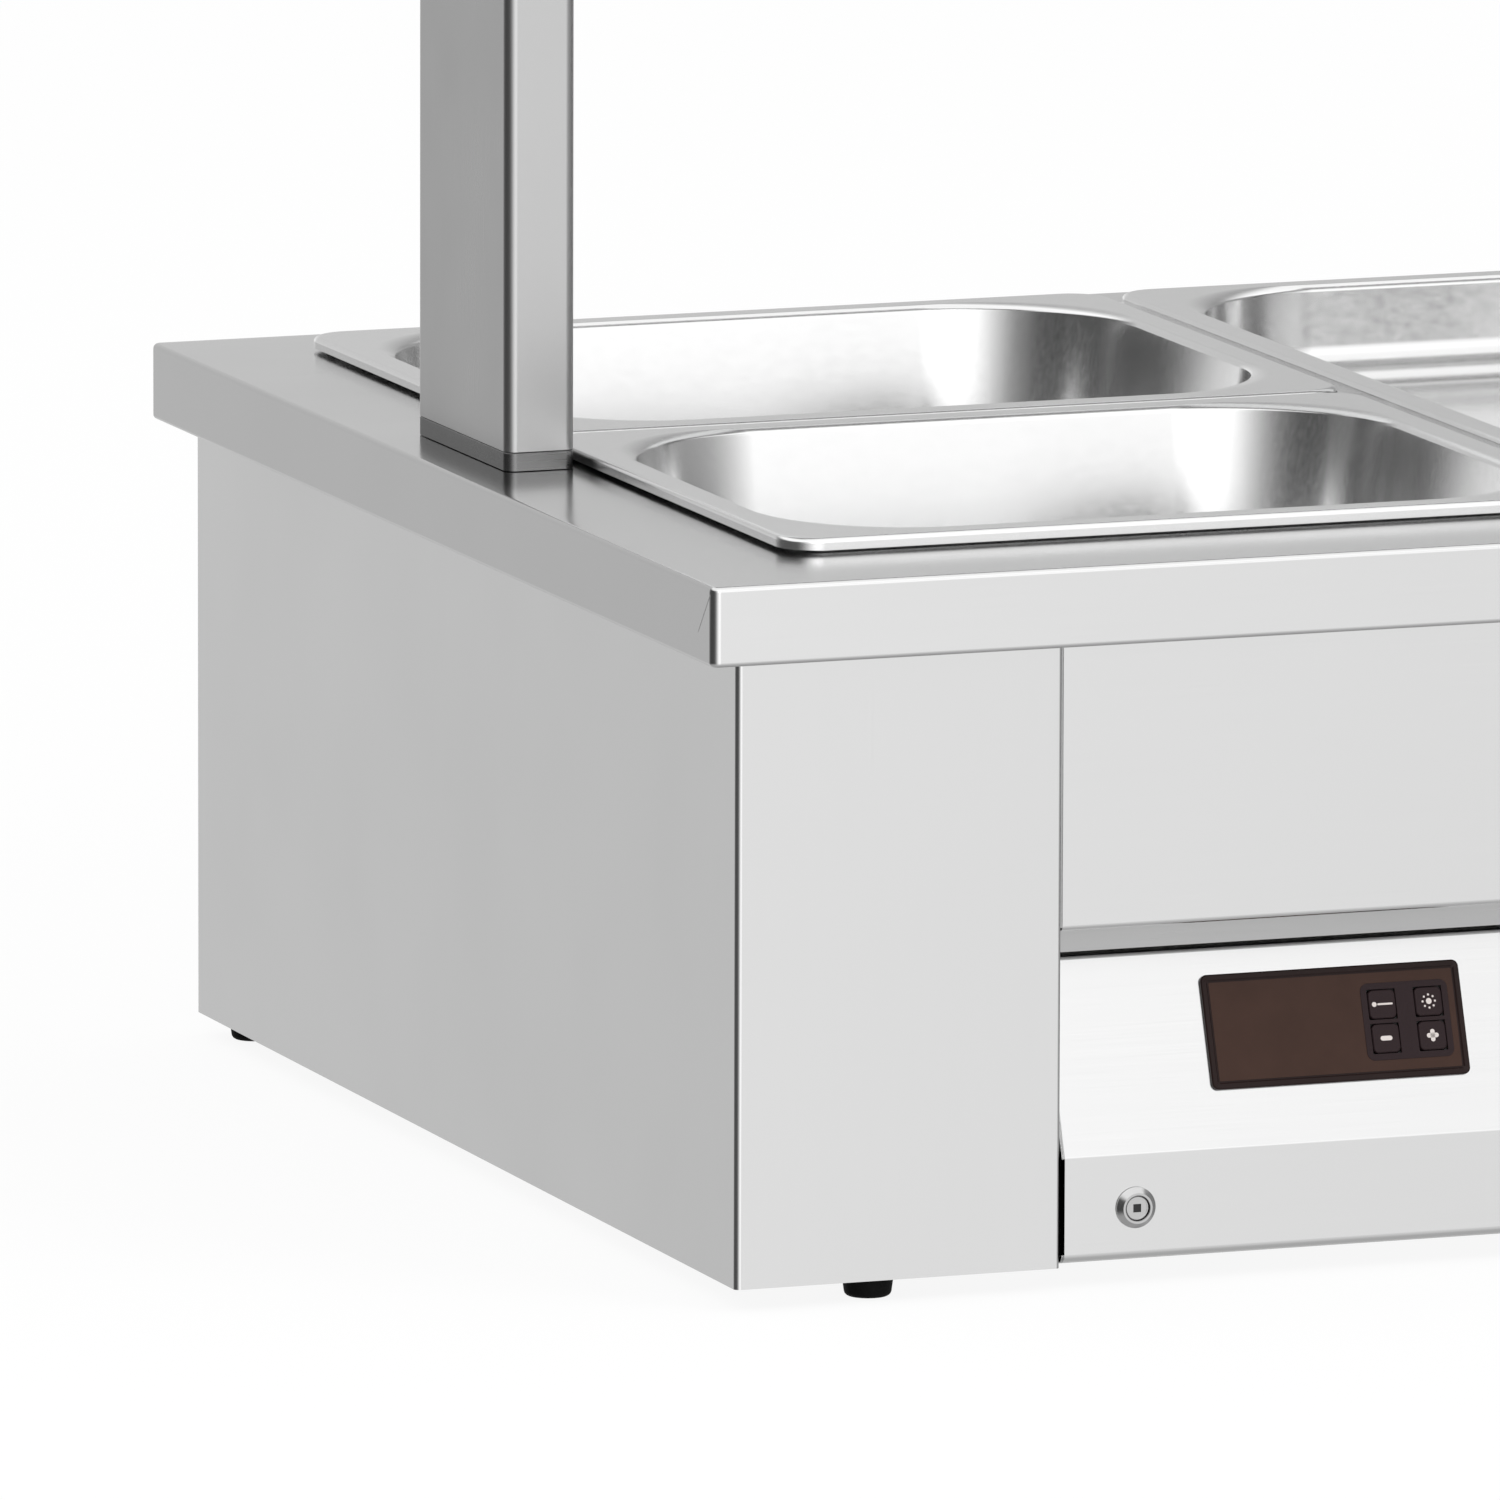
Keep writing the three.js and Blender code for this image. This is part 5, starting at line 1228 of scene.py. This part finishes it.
class BAINMARIE_OT_flap(Operator):
    """Builds the hinged control flap with its end gussets and the holes for what it carries"""

    bl_idname = "bain_marie.flap"
    bl_label = "Control flap"

    def execute(self, context):
        s = context.scene.bain_marie_flap
        cabinet = context.scene.bain_marie_cabinet
        low, high = box("control_flap")
        deep = low[1] + cabinet.recess_depth
        path = [(high[1], high[2]), (deep, high[2]), (low[1], low[2] + s.lower_face), (low[1], low[2]),
                (low[1] + s.flap_return, low[2])]
        bends = [cabinet.bend, cabinet.bend, s.lower_bend]
        outline = folded(path, bends, cabinet.sheet, 1)
        mesh = mesh_of("control_flap_sheet", prism(outline, low[0], high[0], "x"))
        mesh = cut(mesh, merged(*self.openings(s), *self.lock_holes(s, context.scene.bain_marie_locks)))
        add_piece("control_flap_sheet", mesh, "brushed_sheet_lengthwise", "flap", ["control_flap"],
                  "satin_steel")
        self.add_gussets(s, cabinet, bent_line(path, bends)[0])
        self.add_studs()
        return {"FINISHED"}

    def openings(self, s):
        """Cutters on the sloped face for the controller's case and the switch."""
        cutters = []
        for node, wall in (("controller_glass", s.case_wall), ("light_switch_housing", s.switch_wall)):
            low, high = slope_place(s, node)
            room = wall - s.hole_room
            cutters.append(on_slope(s, block((low[0] + room, low[1] + room, -through),
                                             (high[0] - room, high[1] - room, through))))
        return cutters

    def lock_holes(self, s, locks):
        """Round cutters on the lower face for the locks' sleeves."""
        front = box("control_flap")[0][1]
        places = [middle(f"{side}_lock_housing") for side, _ in SIDES]
        radius = locks.sleeve + s.hole_room
        return [rod(radius, -through, through, (x, front, z), "y") for x, _, z in places]

    def add_gussets(self, s, cabinet, face):
        """The end gussets: the flap's own outline closed behind, with a hole on the hinge stud."""
        low, high = box("control_flap")
        outline = np.concatenate([face, [(high[1], high[2] - 2 * s.pivot_inset)]])
        pivot = (low[1] + cabinet.recess_depth + s.pivot_inset, high[2] - s.pivot_inset)
        for side, sign in SIDES:
            outer = (low if sign < 0 else high)[0]
            sheet = prism(outline, outer - sign * cabinet.sheet, outer, "x")
            hole = rod(s.stud_hole, -through, through, (outer, *pivot), "x")
            mesh = cut(mesh_of(f"{side}_flap_gusset", sheet), hole)
            add_piece(f"{side}_flap_gusset", mesh, "brushed_sheet_lengthwise", "flap", slot="satin_steel")

    def add_studs(self):
        """The hinge studs: a shank in the gusset and a head inside it."""
        edge, head_edge = 0.2 * MM, 0.6 * MM
        for side, sign in SIDES:
            low, high = box(f"{side}_hinge_stud")
            run, head = high[0] - low[0], (high[2] - low[2]) / 2
            shank, neck = head * 0.625, 0.6 * run
            corners = [(0, 0), (shank, 0), (shank, neck), (head, neck), (head, run), (0, run)]
            profile = softened(corners, [edge, edge, edge, head_edge])
            profile[:, 1] *= -sign
            _, y, z = middle(f"{side}_hinge_stud")
            start = (high if sign > 0 else low)[0]
            add_piece(f"{side}_hinge_stud_turned", turned(profile, (start, y, z), "x"), "turned_steel",
                      stands_for=[f"{side}_hinge_stud"], slot="turned_steel")


class BAINMARIE_OT_controller(Operator):
    """Builds the controller: bordered front, window film, keypad foil, four keys with marks, and case"""

    bl_idname = "bain_marie.controller"
    bl_label = "Controller"

    keys = {
        "key_power": "power_key",
        "key_light": "light_key",
        "key_down": "down_key",
        "key_up": "up_key",
    }

    def execute(self, context):
        s = context.scene.bain_marie_flap
        places = {node: slope_place(s, node) for node in self.keys}
        room = np.array([s.hole_room, s.hole_room, 0])
        deep = np.array([0, 0, 1.5 * through])
        holes = [block((low - room) * (1, 1, 0) - deep, (high + room) * (1, 1, 0) + deep)
                 for low, high in places.values()]
        window = self.add_front(s, merged(*holes))
        foil_floor = self.add_film(s, merged(*holes), window)
        self.add_foil(s, merged(*holes), places.values(), foil_floor)
        for node, (low, high) in places.items():
            self.add_key(s, node, low, high)
        refinish("controller_case", "black_plastic")
        return {"FINISHED"}

    def add_layer(self, s, name, surface, holes, finish, **links):
        """One layer of the front: open at the keys, then turned onto the slope."""
        turn, origin = slope_frame(s)
        mesh = cut(mesh_of(name, surface), holes)
        mesh.transform(Matrix.Translation(origin) @ Matrix(turn).to_4x4())
        add_piece(name, mesh, finish, "flap", **links)

    def add_front(self, s, holes):
        """The front plate: a border round a window that is set back; gives the window's height."""
        low, high = slope_place(s, "controller_glass")
        edge, window = s.glass_edge, high[2] - s.bezel_step
        inset = np.array([0, 0, edge, s.bezel, s.bezel + edge])
        height = np.array([low[2], high[2] - edge, high[2], high[2], window])
        corner = np.maximum(s.glass_corner - inset, s.least_corner)
        rings = rounded_rings(low, high, inset, corner, height)
        self.add_layer(s, "controller_front", skin(rings), holes, "back_printed_acrylic",
                       stands_for=["controller_glass"], slot="controller_front")
        return window

    def add_film(self, s, holes, window):
        """The brown film in the window, open at the keys; gives the height over it."""
        low, high = slope_place(s, "controller_glass")
        side = s.bezel + 2 * s.glass_edge
        bottom, top = window + s.film_gap, window + s.film_gap + s.film
        film = plate((low[0] + side, low[1] + side, bottom), (high[0] - side, high[1] - side, top),
                     s.glass_edge, s.film_gap)
        self.add_layer(s, "display_film", film, holes, "smoked_acrylic", slot="controller_front")
        return top + s.film_gap

    def add_foil(self, s, holes, places, floor):
        """The keypad's foil on the film, a margin wider than the keys."""
        low = np.min([a for a, _ in places], 0) - s.keypad_margin
        high = np.max([b for _, b in places], 0) + s.keypad_margin
        foil = plate((low[0], low[1], floor), (high[0], high[1], floor + 2 * s.film), s.foil_corner,
                     s.foil_edge)
        self.add_layer(s, "keypad_foil", foil, holes, "keypad_foil", slot="key_plastic")

    def add_key(self, s, node, low, high):
        """A key: a rounded block whose top edge is softened, with its mark just proud of it."""
        edge = s.key_edge
        sweep = np.linspace(0, pi / 2, 6)
        inset = np.concatenate([[0], edge * (1 - np.cos(sweep))])
        height = np.concatenate([[low[2]], high[2] - edge + edge * np.sin(sweep)])
        rings = rounded_rings(low, high, inset, s.key_corner - inset / 2, height)
        body = self.keys[node]
        add_piece(f"{node}_cap", on_slope(s, skin(rings)), "keypad_foil", body, [node], "key_plastic")
        x, y, _ = (low + high) / 2
        mark = moved(merged(*self.mark(node)), by=(x, y, high[2]))
        add_piece(f"{node}_mark", on_slope(s, mark), "printed_legend", body)

    def mark(self, node):
        """Plain signs: a dot and line, a small sun, a minus and a plus."""
        thin, sign, stroke = 0.05 * MM, 4.6 * MM, 1.7 * MM
        sun, ray, ray_ring = 1.1 * MM, 0.4 * MM, 2.4 * MM
        spot, spot_place = 0.9 * MM, -3.2 * MM
        line, line_width, line_place = 6 * MM, 0.7 * MM, 1 * MM

        def bar(x, wide, high):
            return plate((x - wide / 2, -high / 2, -thin), (x + wide / 2, high / 2, thin),
                         min(wide, high) / 2, thin / 4, 4)

        def dot(x, y, radius):
            return rod(radius, -thin, thin, (x, y, 0), "z", 20)

        if node == "key_power":
            return [dot(spot_place, 0, spot), bar(line_place, line, line_width)]
        if node == "key_light":
            ways = np.arange(8) * tau / 8
            return [dot(0, 0, sun)] + [dot(ray_ring * np.cos(w), ray_ring * np.sin(w), ray) for w in ways]
        flat, upright = bar(0, sign, stroke), bar(0, stroke, sign)
        return [flat] if node == "key_down" else [flat, upright]


class BAINMARIE_OT_light_switch(Operator):
    """Builds the rocker switch of the lamp: a stepped frame and a tilting rocker"""

    bl_idname = "bain_marie.light_switch"
    bl_label = "Light switch"

    def execute(self, context):
        s = context.scene.bain_marie_flap
        low, high = slope_place(s, "light_switch_housing")
        wall, seat, edge, lead = s.switch_wall, s.switch_seat, s.switch_edge, s.well_edge
        face, well = high[2], high[2] - s.switch_well
        inset = np.array([wall, wall, 0, 0, edge, 2 * wall - lead, 2 * wall, 2 * wall])
        height = np.array([low[2], seat, seat, face - edge, face, face, face - lead, well])
        rings = rounded_rings(low, high, inset, np.array(switch_corners) * MM, height)
        add_piece("light_switch_frame", on_slope(s, skin(rings)), "black_plastic", "flap",
                  ["light_switch_housing"], "black_plastic")
        refinish("light_switch_rocker", "black_plastic")
        return {"FINISHED"}


class BAINMARIE_OT_locks(Operator):
    """Builds the two quarter-turn locks: ring, sleeve and nut, and the rotor with its square socket"""

    bl_idname = "bain_marie.locks"
    bl_label = "Locks"

    def execute(self, context):
        s = context.scene.bain_marie_locks
        for side, _ in SIDES:
            self.add_ring(s, side)
            self.add_rotor(s, side)
        return {"FINISHED"}

    def add_ring(self, s, side):
        """A ring with a cone before the face, a sleeve through it and a hexagon nut behind."""
        low, high = box(f"{side}_lock_housing")
        x, _, z = middle(f"{side}_lock_housing")
        face = box("control_flap")[0][1]
        front, seat, end = low[1], face - s.seat, high[1]
        flat = (high[0] - low[0]) / 2 * np.cos(pi / 6)
        nut, nut_end = face + s.nut_place, face + s.nut_place + s.nut_height
        profile = [(s.bore, end), (s.bore, front + s.mouth_depth), (s.bore + s.mouth, front),
                   (s.ring - s.cone, front), (s.ring, front + s.cone), (s.ring, seat), (s.sleeve, seat),
                   (s.sleeve, nut), (flat, nut), (flat, nut_end), (s.sleeve, nut_end), (s.sleeve, end),
                   (s.bore, end)]
        sides = [6 if radius == flat else 0 for radius, _ in profile]
        add_piece(f"{side}_lock_ring", turned(profile, (x, 0, z), "y", sides), "turned_steel", "flap",
                  [f"{side}_lock_housing"], "turned_steel")

    def add_rotor(self, s, side):
        """The rotor: a face with a shallow ring and a square socket, its barrel, and its cam.

        A black block in the socket is painted shade of its depth.
        """
        low, high = box(f"{side}_lock_rotor")
        x, _, z = middle(f"{side}_lock_housing")
        radius, half, step = s.bore - s.play, s.socket / 2, s.step
        face, deep, end = low[1], low[1] + s.socket_depth, high[1] - s.cam
        profile = [(0, deep), (half, deep), (half, face + step), (radius - 2 * step, face + step),
                   (radius - 2 * step, face), (radius - step, face), (radius, face + step), (radius, end),
                   (0, end)]
        barrel = turned(profile, (x, 0, z), "y", [4, 4, 4, 0, 0, 0, 0, 0, 0])
        cam = prism(self.rounded_bar(low[0], high[0], z, high[2] - low[2]), end - s.cam_lap, high[1], "y")
        add_piece(f"{side}_lock_cam", merged(barrel, cam), "turned_steel", f"{side}_lock",
                  [f"{side}_lock_rotor"], "turned_steel")
        # A black block in the socket: painted shade, where the deep socket would be dark.
        reach = half - s.shade_block_room
        shade_block = block((x - reach, face + 2 * step, z - reach), (x + reach, deep, z + reach))
        add_piece(f"{side}_lock_socket", shade_block, "black_plastic", f"{side}_lock")

    def rounded_bar(self, left, right, z, wide):
        """A bar with round ends: two half circles joined."""
        r = wide / 2
        sweep = np.linspace(-pi / 2, pi / 2, 12)
        there = np.column_stack([right - r + r * np.cos(sweep), z + r * np.sin(sweep)])
        here = np.column_stack([left + r - r * np.cos(sweep), z - r * np.sin(sweep)])
        return np.concatenate([there, here])


# The gantry

class BAINMARIE_OT_gantry(Operator):
    """Builds the posts on their collars, the canopy and the lamp tray inside it"""

    bl_idname = "bain_marie.gantry"
    bl_label = "Gantry"

    def execute(self, context):
        s = context.scene.bain_marie_gantry
        sheet = context.scene.bain_marie_cabinet.sheet
        for side, _ in SIDES:
            self.add_post(s, side)
        self.add_canopy(s, sheet)
        self.add_tray(s, sheet)
        return {"FINISHED"}

    def add_post(self, s, side):
        """A tube with rounded corners, standing on the collar's shoulder and round its spigot."""
        low, high = box(f"{side}_post")
        outer, inner, wall = s.post_corner, s.post_corner - s.post_wall, s.post_wall
        rings = rounded_rings(low, high, [0, 0, wall, wall], [outer, outer, inner, inner],
                              [low[2], high[2], high[2], low[2]])
        add_piece(f"{side}_post_tube", skin(rings, True), "brushed_post", stands_for=[f"{side}_post"],
                  slot="satin_steel")
        base, top = box(f"{side}_post_collar")
        foot, crown, shoulder = base[2], top[2], low[2] - s.collar_drop
        gap, edge = s.post_wall + s.collar_play, s.collar_edge
        inset = np.array([0, 0, edge, gap, gap, 2 * gap, 2 * gap])
        height = np.array([foot, shoulder - edge, shoulder, shoulder, crown, crown, foot])
        rings = rounded_rings(base, top, inset, np.maximum(outer - inset, inner), height)
        add_piece(f"{side}_collar", skin(rings, True), "brushed_collar",
                  stands_for=[f"{side}_post_collar"], slot="collar")

    def add_canopy(self, s, sheet):
        """The canopy: a bent profile carried round a rounded rectangle, and notched round the posts."""
        low, high = box("canopy")
        reach = s.canopy_bend + s.canopy_run
        path = [(reach, high[2]), (0, high[2]), (0, low[2]), (s.canopy_hem, low[2])]
        profile = doubled(path, [s.canopy_bend, s.hem_bend], sheet, edge_steps)
        radius = np.interp(profile[:, 0], [0, s.canopy_hem], [s.canopy_corner, s.canopy_corner * 0.6])
        rings = rounded_rings(low, high, profile[:, 0], radius, profile[:, 1])
        heights = [low[2] - s.notch_drop, low[2] + s.canopy_hem]
        notches = []
        for side, _ in SIDES:
            post_low, post_high = box(f"{side}_post")
            notches.append(skin(rounded_rings(post_low - s.post_room, post_high + s.post_room, 0,
                                              [s.post_corner] * 2, heights)))
        mesh = cut(mesh_of("canopy_sheet", skin(rings)), merged(*notches))
        add_piece("canopy_sheet", mesh, "brushed_sheet_lengthwise", stands_for=["canopy"],
                  slot="satin_steel")

    def add_tray(self, s, sheet):
        """The lamp tray: flanges, slopes and a flat top folded from one polished sheet."""
        low, high = box("lamp_tray")
        centre, half = (low[1] + high[1]) / 2, s.tray_top / 2
        top = high[2] - sheet
        path = [(low[1], low[2]), (low[1] + s.tray_flange, low[2]), (centre - half, top),
                (centre + half, top), (high[1] - s.tray_flange, low[2]), (high[1], low[2])]
        tray = prism(folded(path, s.hem_bend, sheet, 1), low[0], high[0], "x")
        add_piece("lamp_tray_sheet", tray, "polished_reflector", stands_for=["lamp_tray"],
                  slot="reflector")


class BAINMARIE_OT_lamp(Operator):
    """Builds the quartz heat lamp with its coiled filament, ceramic caps and holders"""

    bl_idname = "bain_marie.lamp"
    bl_label = "Heat lamp"

    def execute(self, context):
        s = context.scene.bain_marie_gantry
        low, high = box("heat_lamp")
        _, y, z = middle("heat_lamp")
        inside = s.lamp_cap - 4 * MM
        start, end = low[0] + inside, high[0] - inside
        outer, inner = s.lamp, s.lamp - s.lamp_wall
        glass = turned([(outer, start), (outer, end), (inner, end), (inner, start), (outer, start)],
                       (0, y, z), "x")
        add_piece("lamp_quartz_tube", glass, "quartz_tube", stands_for=["heat_lamp"], slot="quartz")
        self.add_coil(s, (y, z), start, end)
        for side, sign in SIDES:
            self.add_cap(s, side, sign)
            refinish(f"{side}_lamp_holder", "fired_steatite")
        return {"FINISHED"}

    def add_cap(self, s, side, sign):
        """A ceramic cap at the lamp's end: a short drum that narrows to the tube at its mouth."""
        low, high = box("heat_lamp")
        _, y, z = middle("heat_lamp")
        radius, mouth = (high[2] - low[2]) / 2, s.lamp + 0.2 * MM
        edge, shoulder, lip = 1 * MM, 0.8 * MM, 0.1 * MM
        corners = [(0, 0), (radius, 0), (radius, s.lamp_cap), (mouth, s.lamp_cap), (0, s.lamp_cap)]
        profile = softened(corners, [edge, shoulder, lip])
        profile[:, 1] = (low if sign < 0 else high)[0] - sign * profile[:, 1]
        add_piece(f"{side}_lamp_cap", turned(profile, (0, y, z), "x"), "fired_steatite", slot="steatite")

    def add_coil(self, s, centre, start, end):
        """The filament: a helix about the lamp's axis, with a small ring of points carried along it."""
        turns = (end - start) / s.coil_pitch
        along = np.linspace(0, 1, int(turns * 12))
        phase = along * turns * tau
        path = np.column_stack([start + along * (end - start), centre[0] + s.coil * np.cos(phase),
                                centre[1] + s.coil * np.sin(phase)])
        out = np.column_stack([np.zeros_like(phase), np.cos(phase), np.sin(phase)])
        ahead = np.gradient(path, axis=0)
        ahead /= np.linalg.norm(ahead, axis=1, keepdims=True)
        side = np.cross(ahead, out)
        sweep = np.linspace(0, tau, 5, endpoint=False)[None, :, None]
        circle = out[:, None] * np.cos(sweep) + side[:, None] * np.sin(sweep)
        add_piece("lamp_filament", skin(path[:, None] + s.coil_wire * circle), "tungsten_wire",
                  slot="turned_steel")


class BAINMARIE_OT_guard(Operator):
    """Builds the leaning guard glass and the two clamps that hold it"""

    bl_idname = "bain_marie.guard"
    bl_label = "Guard glass"

    def execute(self, context):
        s = context.scene.bain_marie_gantry
        c, n = np.cos(s.pane_tilt), np.sin(s.pane_tilt)
        turn = np.array([[1, 0, 0], [0, c, -n], [0, n, c]])
        upright = np.array([[1, 0, 0], [0, 0, 1], [0, 1, 0]])
        points = points_of("guard_glass") @ turn
        pane = plate(points.min(0) @ upright.T, points.max(0) @ upright.T, s.pane_corner, s.pane_edge)
        add_piece("guard_pane", moved(moved(pane, upright), turn), "toughened_glass",
                  stands_for=["guard_glass"], slot="guard_glass")
        for side, _ in SIDES:
            refinish(f"{side}_glass_clamp", "turned_steel")
            self.add_screws(side, turn)
        return {"FINISHED"}

    def add_screws(self, side, turn):
        """Two grub screws in each clamp's outer jaw, with hexagon sockets."""
        points = points_of(f"{side}_glass_clamp") @ turn
        low, high = points.min(0), points.max(0)
        r, socket, edge, back, proud = 3 * MM, -1.5 * MM, -0.3 * MM, -2 * MM, 0.4 * MM
        profile = [(0, socket), (0.5 * r, socket), (0.5 * r, 0), (0.9 * r, 0), (r, edge), (r, back),
                   (0, back)]
        y, z = high[1] + proud, low[2] + (high[2] - low[2]) * 0.35
        heads = [turned(profile, (x, y, z), "y", [6, 6, 6, 0, 0, 0, 0], 36)
                 for x in np.linspace(low[0], high[0], 4)[1:-1]]
        add_piece(f"{side}_clamp_screws", moved(merged(*heads), turn), "turned_steel",
                  slot="turned_steel")


# What is behind and inside

class BAINMARIE_OT_services(Operator):
    """Builds the drain pipe, tap, lever and cable gland, and finishes the relay and terminal block"""

    bl_idname = "bain_marie.services"
    bl_label = "Drain and services"

    def execute(self, context):
        s = context.scene.bain_marie_services
        self.add_pipe(s)
        self.add_tap(s)
        self.add_lever(s)
        self.add_gland(s)
        for node in ("power_relay", "terminal_block"):
            refinish(node, "grey_polyamide")
        return {"FINISHED"}

    def add_pipe(self, s):
        """A hollow pipe: down from the tank, round one bend and back through the rear panel."""
        low, high = box("drain_pipe")
        radius = (high[0] - low[0]) / 2
        x, y, z = (low[0] + high[0]) / 2, low[1] + radius, low[2] + radius
        flat = bent_line([(y, high[2]), (y, z), (high[1], z)], s.pipe_bend, 14)[0]
        path = np.column_stack([np.full(len(flat), x), flat])
        pipe = tube(path, radius, (1, 0, 0), radius - s.pipe_wall, 32)
        add_piece("drain_pipe_bent", pipe, "turned_steel", stands_for=["drain_pipe"], slot="turned_steel")

    def add_tap(self, s):
        """The tap: a barrel with hexagon ends and shoulders, a serrated outlet, and the stem's boss."""
        low, high = box("drain_tap")
        x, r = (low[0] + high[0]) / 2, (high[0] - low[0]) / 2
        z, end, body, out = low[2] + r, high[1] - low[1], s.tap_body, s.outlet
        flat, shoulder = r * 0.86, r - 1.5 * MM
        hexagon, rising, full, deep = 5 * MM, 5.5 * MM, 8 * MM, end - 20 * MM
        barb, barb_pitch, barb_start = 0.8 * MM, 1.6 * MM, 2 * MM
        barbs = [(out - barb * (k % 2), end - barb_start - k * barb_pitch) for k in range(7)]
        profile = [(0, 0), (flat, 0), (flat, hexagon), (shoulder, rising), (r, full), (r, body - full),
                   (shoulder, body - rising), (flat, body - hexagon), (flat, body), *barbs[::-1],
                   (out - 1 * MM, end), (s.tap_bore, end), (s.tap_bore, deep), (0, deep)]
        sides = [6 if radius == flat else 0 for radius, _ in profile]
        barrel = turned(profile, (x, low[1], z), "y", sides)
        top, ledge, edge = high[2] - z, high[2] - z - 3 * MM, 0.3 * MM
        corners = [(0, 0), (s.boss, 0), (s.boss, ledge), (s.stem, ledge), (s.stem, top), (0, top)]
        boss = turned(softened(corners, edge), (x, low[1] + body / 2, z), "z")
        add_piece("drain_tap_body", merged(barrel, boss), "nickelled_brass", stands_for=["drain_tap"],
                  slot="nickel_brass")

    def add_lever(self, s):
        """The lever: a hub with its nut, and an arm folded up to a vinyl grip."""
        low, high = box("drain_lever")
        hub, thick, wide = (high[1] - low[1]) / 2, s.lever_wall, s.lever_width
        x, y = low[0] + hub, (low[1] + high[1]) / 2
        run, reach, hub_edge = 16 * MM, 24 * MM, 0.5 * MM
        path = [(x, low[2] + thick), (x + run, low[2] + thick), (x + reach, high[2]), (high[0], high[2])]
        arm = prism(folded(path, 2 * thick, thick, -1), y - wide / 2, y + wide / 2, "y")
        corners = [(0, 0), (hub, 0), (hub, thick), (0, thick)]
        disc = turned(softened(corners, hub_edge), (x, y, low[2]), "z")
        foot, edge, crown, face = thick - 1 * MM, thick + 3 * MM, thick + 3.6 * MM, 3 * MM
        profile = [(0, foot), (s.nut, foot), (s.nut, edge), (face, crown), (0, crown)]
        nut = turned(profile, (x, y, low[2]), "z", [0, 6, 6, 0, 0])
        add_piece("drain_lever_arm", merged(arm, disc), "dipped_vinyl", "tap_lever", ["drain_lever"],
                  "lever_vinyl")
        add_piece("drain_lever_nut", nut, "turned_steel", "tap_lever", slot="turned_steel")

    def add_gland(self, s):
        """A cable gland: threaded tail, hexagon flange and a dome, bored right through."""
        low, high = box("cable_gland")
        x, z = (low[0] + high[0]) / 2, (low[2] + high[2]) / 2
        panel = box("rear_panel")[1][1]
        end, tail = high[1] - panel, low[1] - panel
        bore, thread, dome, flat = s.gland_bore, s.thread, s.dome, s.flange * np.cos(pi / 6)
        start, face, bevel = 0.3 * MM, 5.6 * MM, 0.7 * MM
        lead, lead_end = thread - 0.5 * MM, tail + 0.8 * MM
        bend, shoulder = end - 3 * MM, end - 1 * MM
        drawn, mouth = dome - 0.8 * MM, dome - 2.4 * MM
        profile = [(bore, tail), (lead, tail), (thread, lead_end), (thread, start), (flat, start),
                   (flat, face), (flat - bevel, face + bevel), (dome, face + bevel), (dome, bend),
                   (drawn, shoulder), (mouth, end), (bore, end), (bore, tail)]
        sides = [6 if radius == flat else 0 for radius, _ in profile]
        add_piece("cable_gland_moulding", turned(profile, (x, panel, z), "y", sides), "black_plastic",
                  stands_for=["cable_gland"], slot="black_plastic")


class BAINMARIE_PT_sidebar(Panel):
    """Lists the steps that build the unit, in their order"""

    bl_idname = "BAINMARIE_PT_sidebar"
    bl_label = "Countertop bain-marie"
    bl_space_type = "VIEW_3D"
    bl_region_type = "UI"
    bl_category = "Bain-marie"

    def draw(self, context):
        for step in steps:
            self.layout.operator(step.bl_idname)
        for _, name in groups:
            sizes = getattr(context.scene, name)
            column = self.layout.column()
            column.label(text=name.replace("_", " ").capitalize())
            for key in sizes.__annotations__:
                column.prop(sizes, key)


groups = (
    (WorktopSizes, "bain_marie_worktop"),
    (PanSizes, "bain_marie_pans"),
    (CabinetSizes, "bain_marie_cabinet"),
    (FlapSizes, "bain_marie_flap"),
    (LockSizes, "bain_marie_locks"),
    (GantrySizes, "bain_marie_gantry"),
    (ServiceSizes, "bain_marie_services"),
    (FinishColours, "bain_marie_finishes"),
    (StageSettings, "bain_marie_stage"),
)
steps = (
    BAINMARIE_OT_stage, BAINMARIE_OT_worktop, BAINMARIE_OT_pans, BAINMARIE_OT_well, BAINMARIE_OT_cabinet,
    BAINMARIE_OT_flap, BAINMARIE_OT_controller, BAINMARIE_OT_light_switch, BAINMARIE_OT_locks,
    BAINMARIE_OT_gantry, BAINMARIE_OT_lamp, BAINMARIE_OT_guard, BAINMARIE_OT_services,
)


def register():
    for group, name in groups:
        bpy.utils.register_class(group)
        setattr(bpy.types.Scene, name, PointerProperty(type=group))
    for made in (*steps, BAINMARIE_PT_sidebar):
        bpy.utils.register_class(made)


def unregister():
    for made in (BAINMARIE_PT_sidebar, *reversed(steps)):
        bpy.utils.unregister_class(made)
    for group, name in reversed(groups):
        delattr(bpy.types.Scene, name)
        bpy.utils.unregister_class(group)


def main():
    """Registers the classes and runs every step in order."""
    register()
    for step in steps:
        family, name = step.bl_idname.split(".")
        getattr(getattr(bpy.ops, family), name)()


if __name__ == "__main__":
    main()
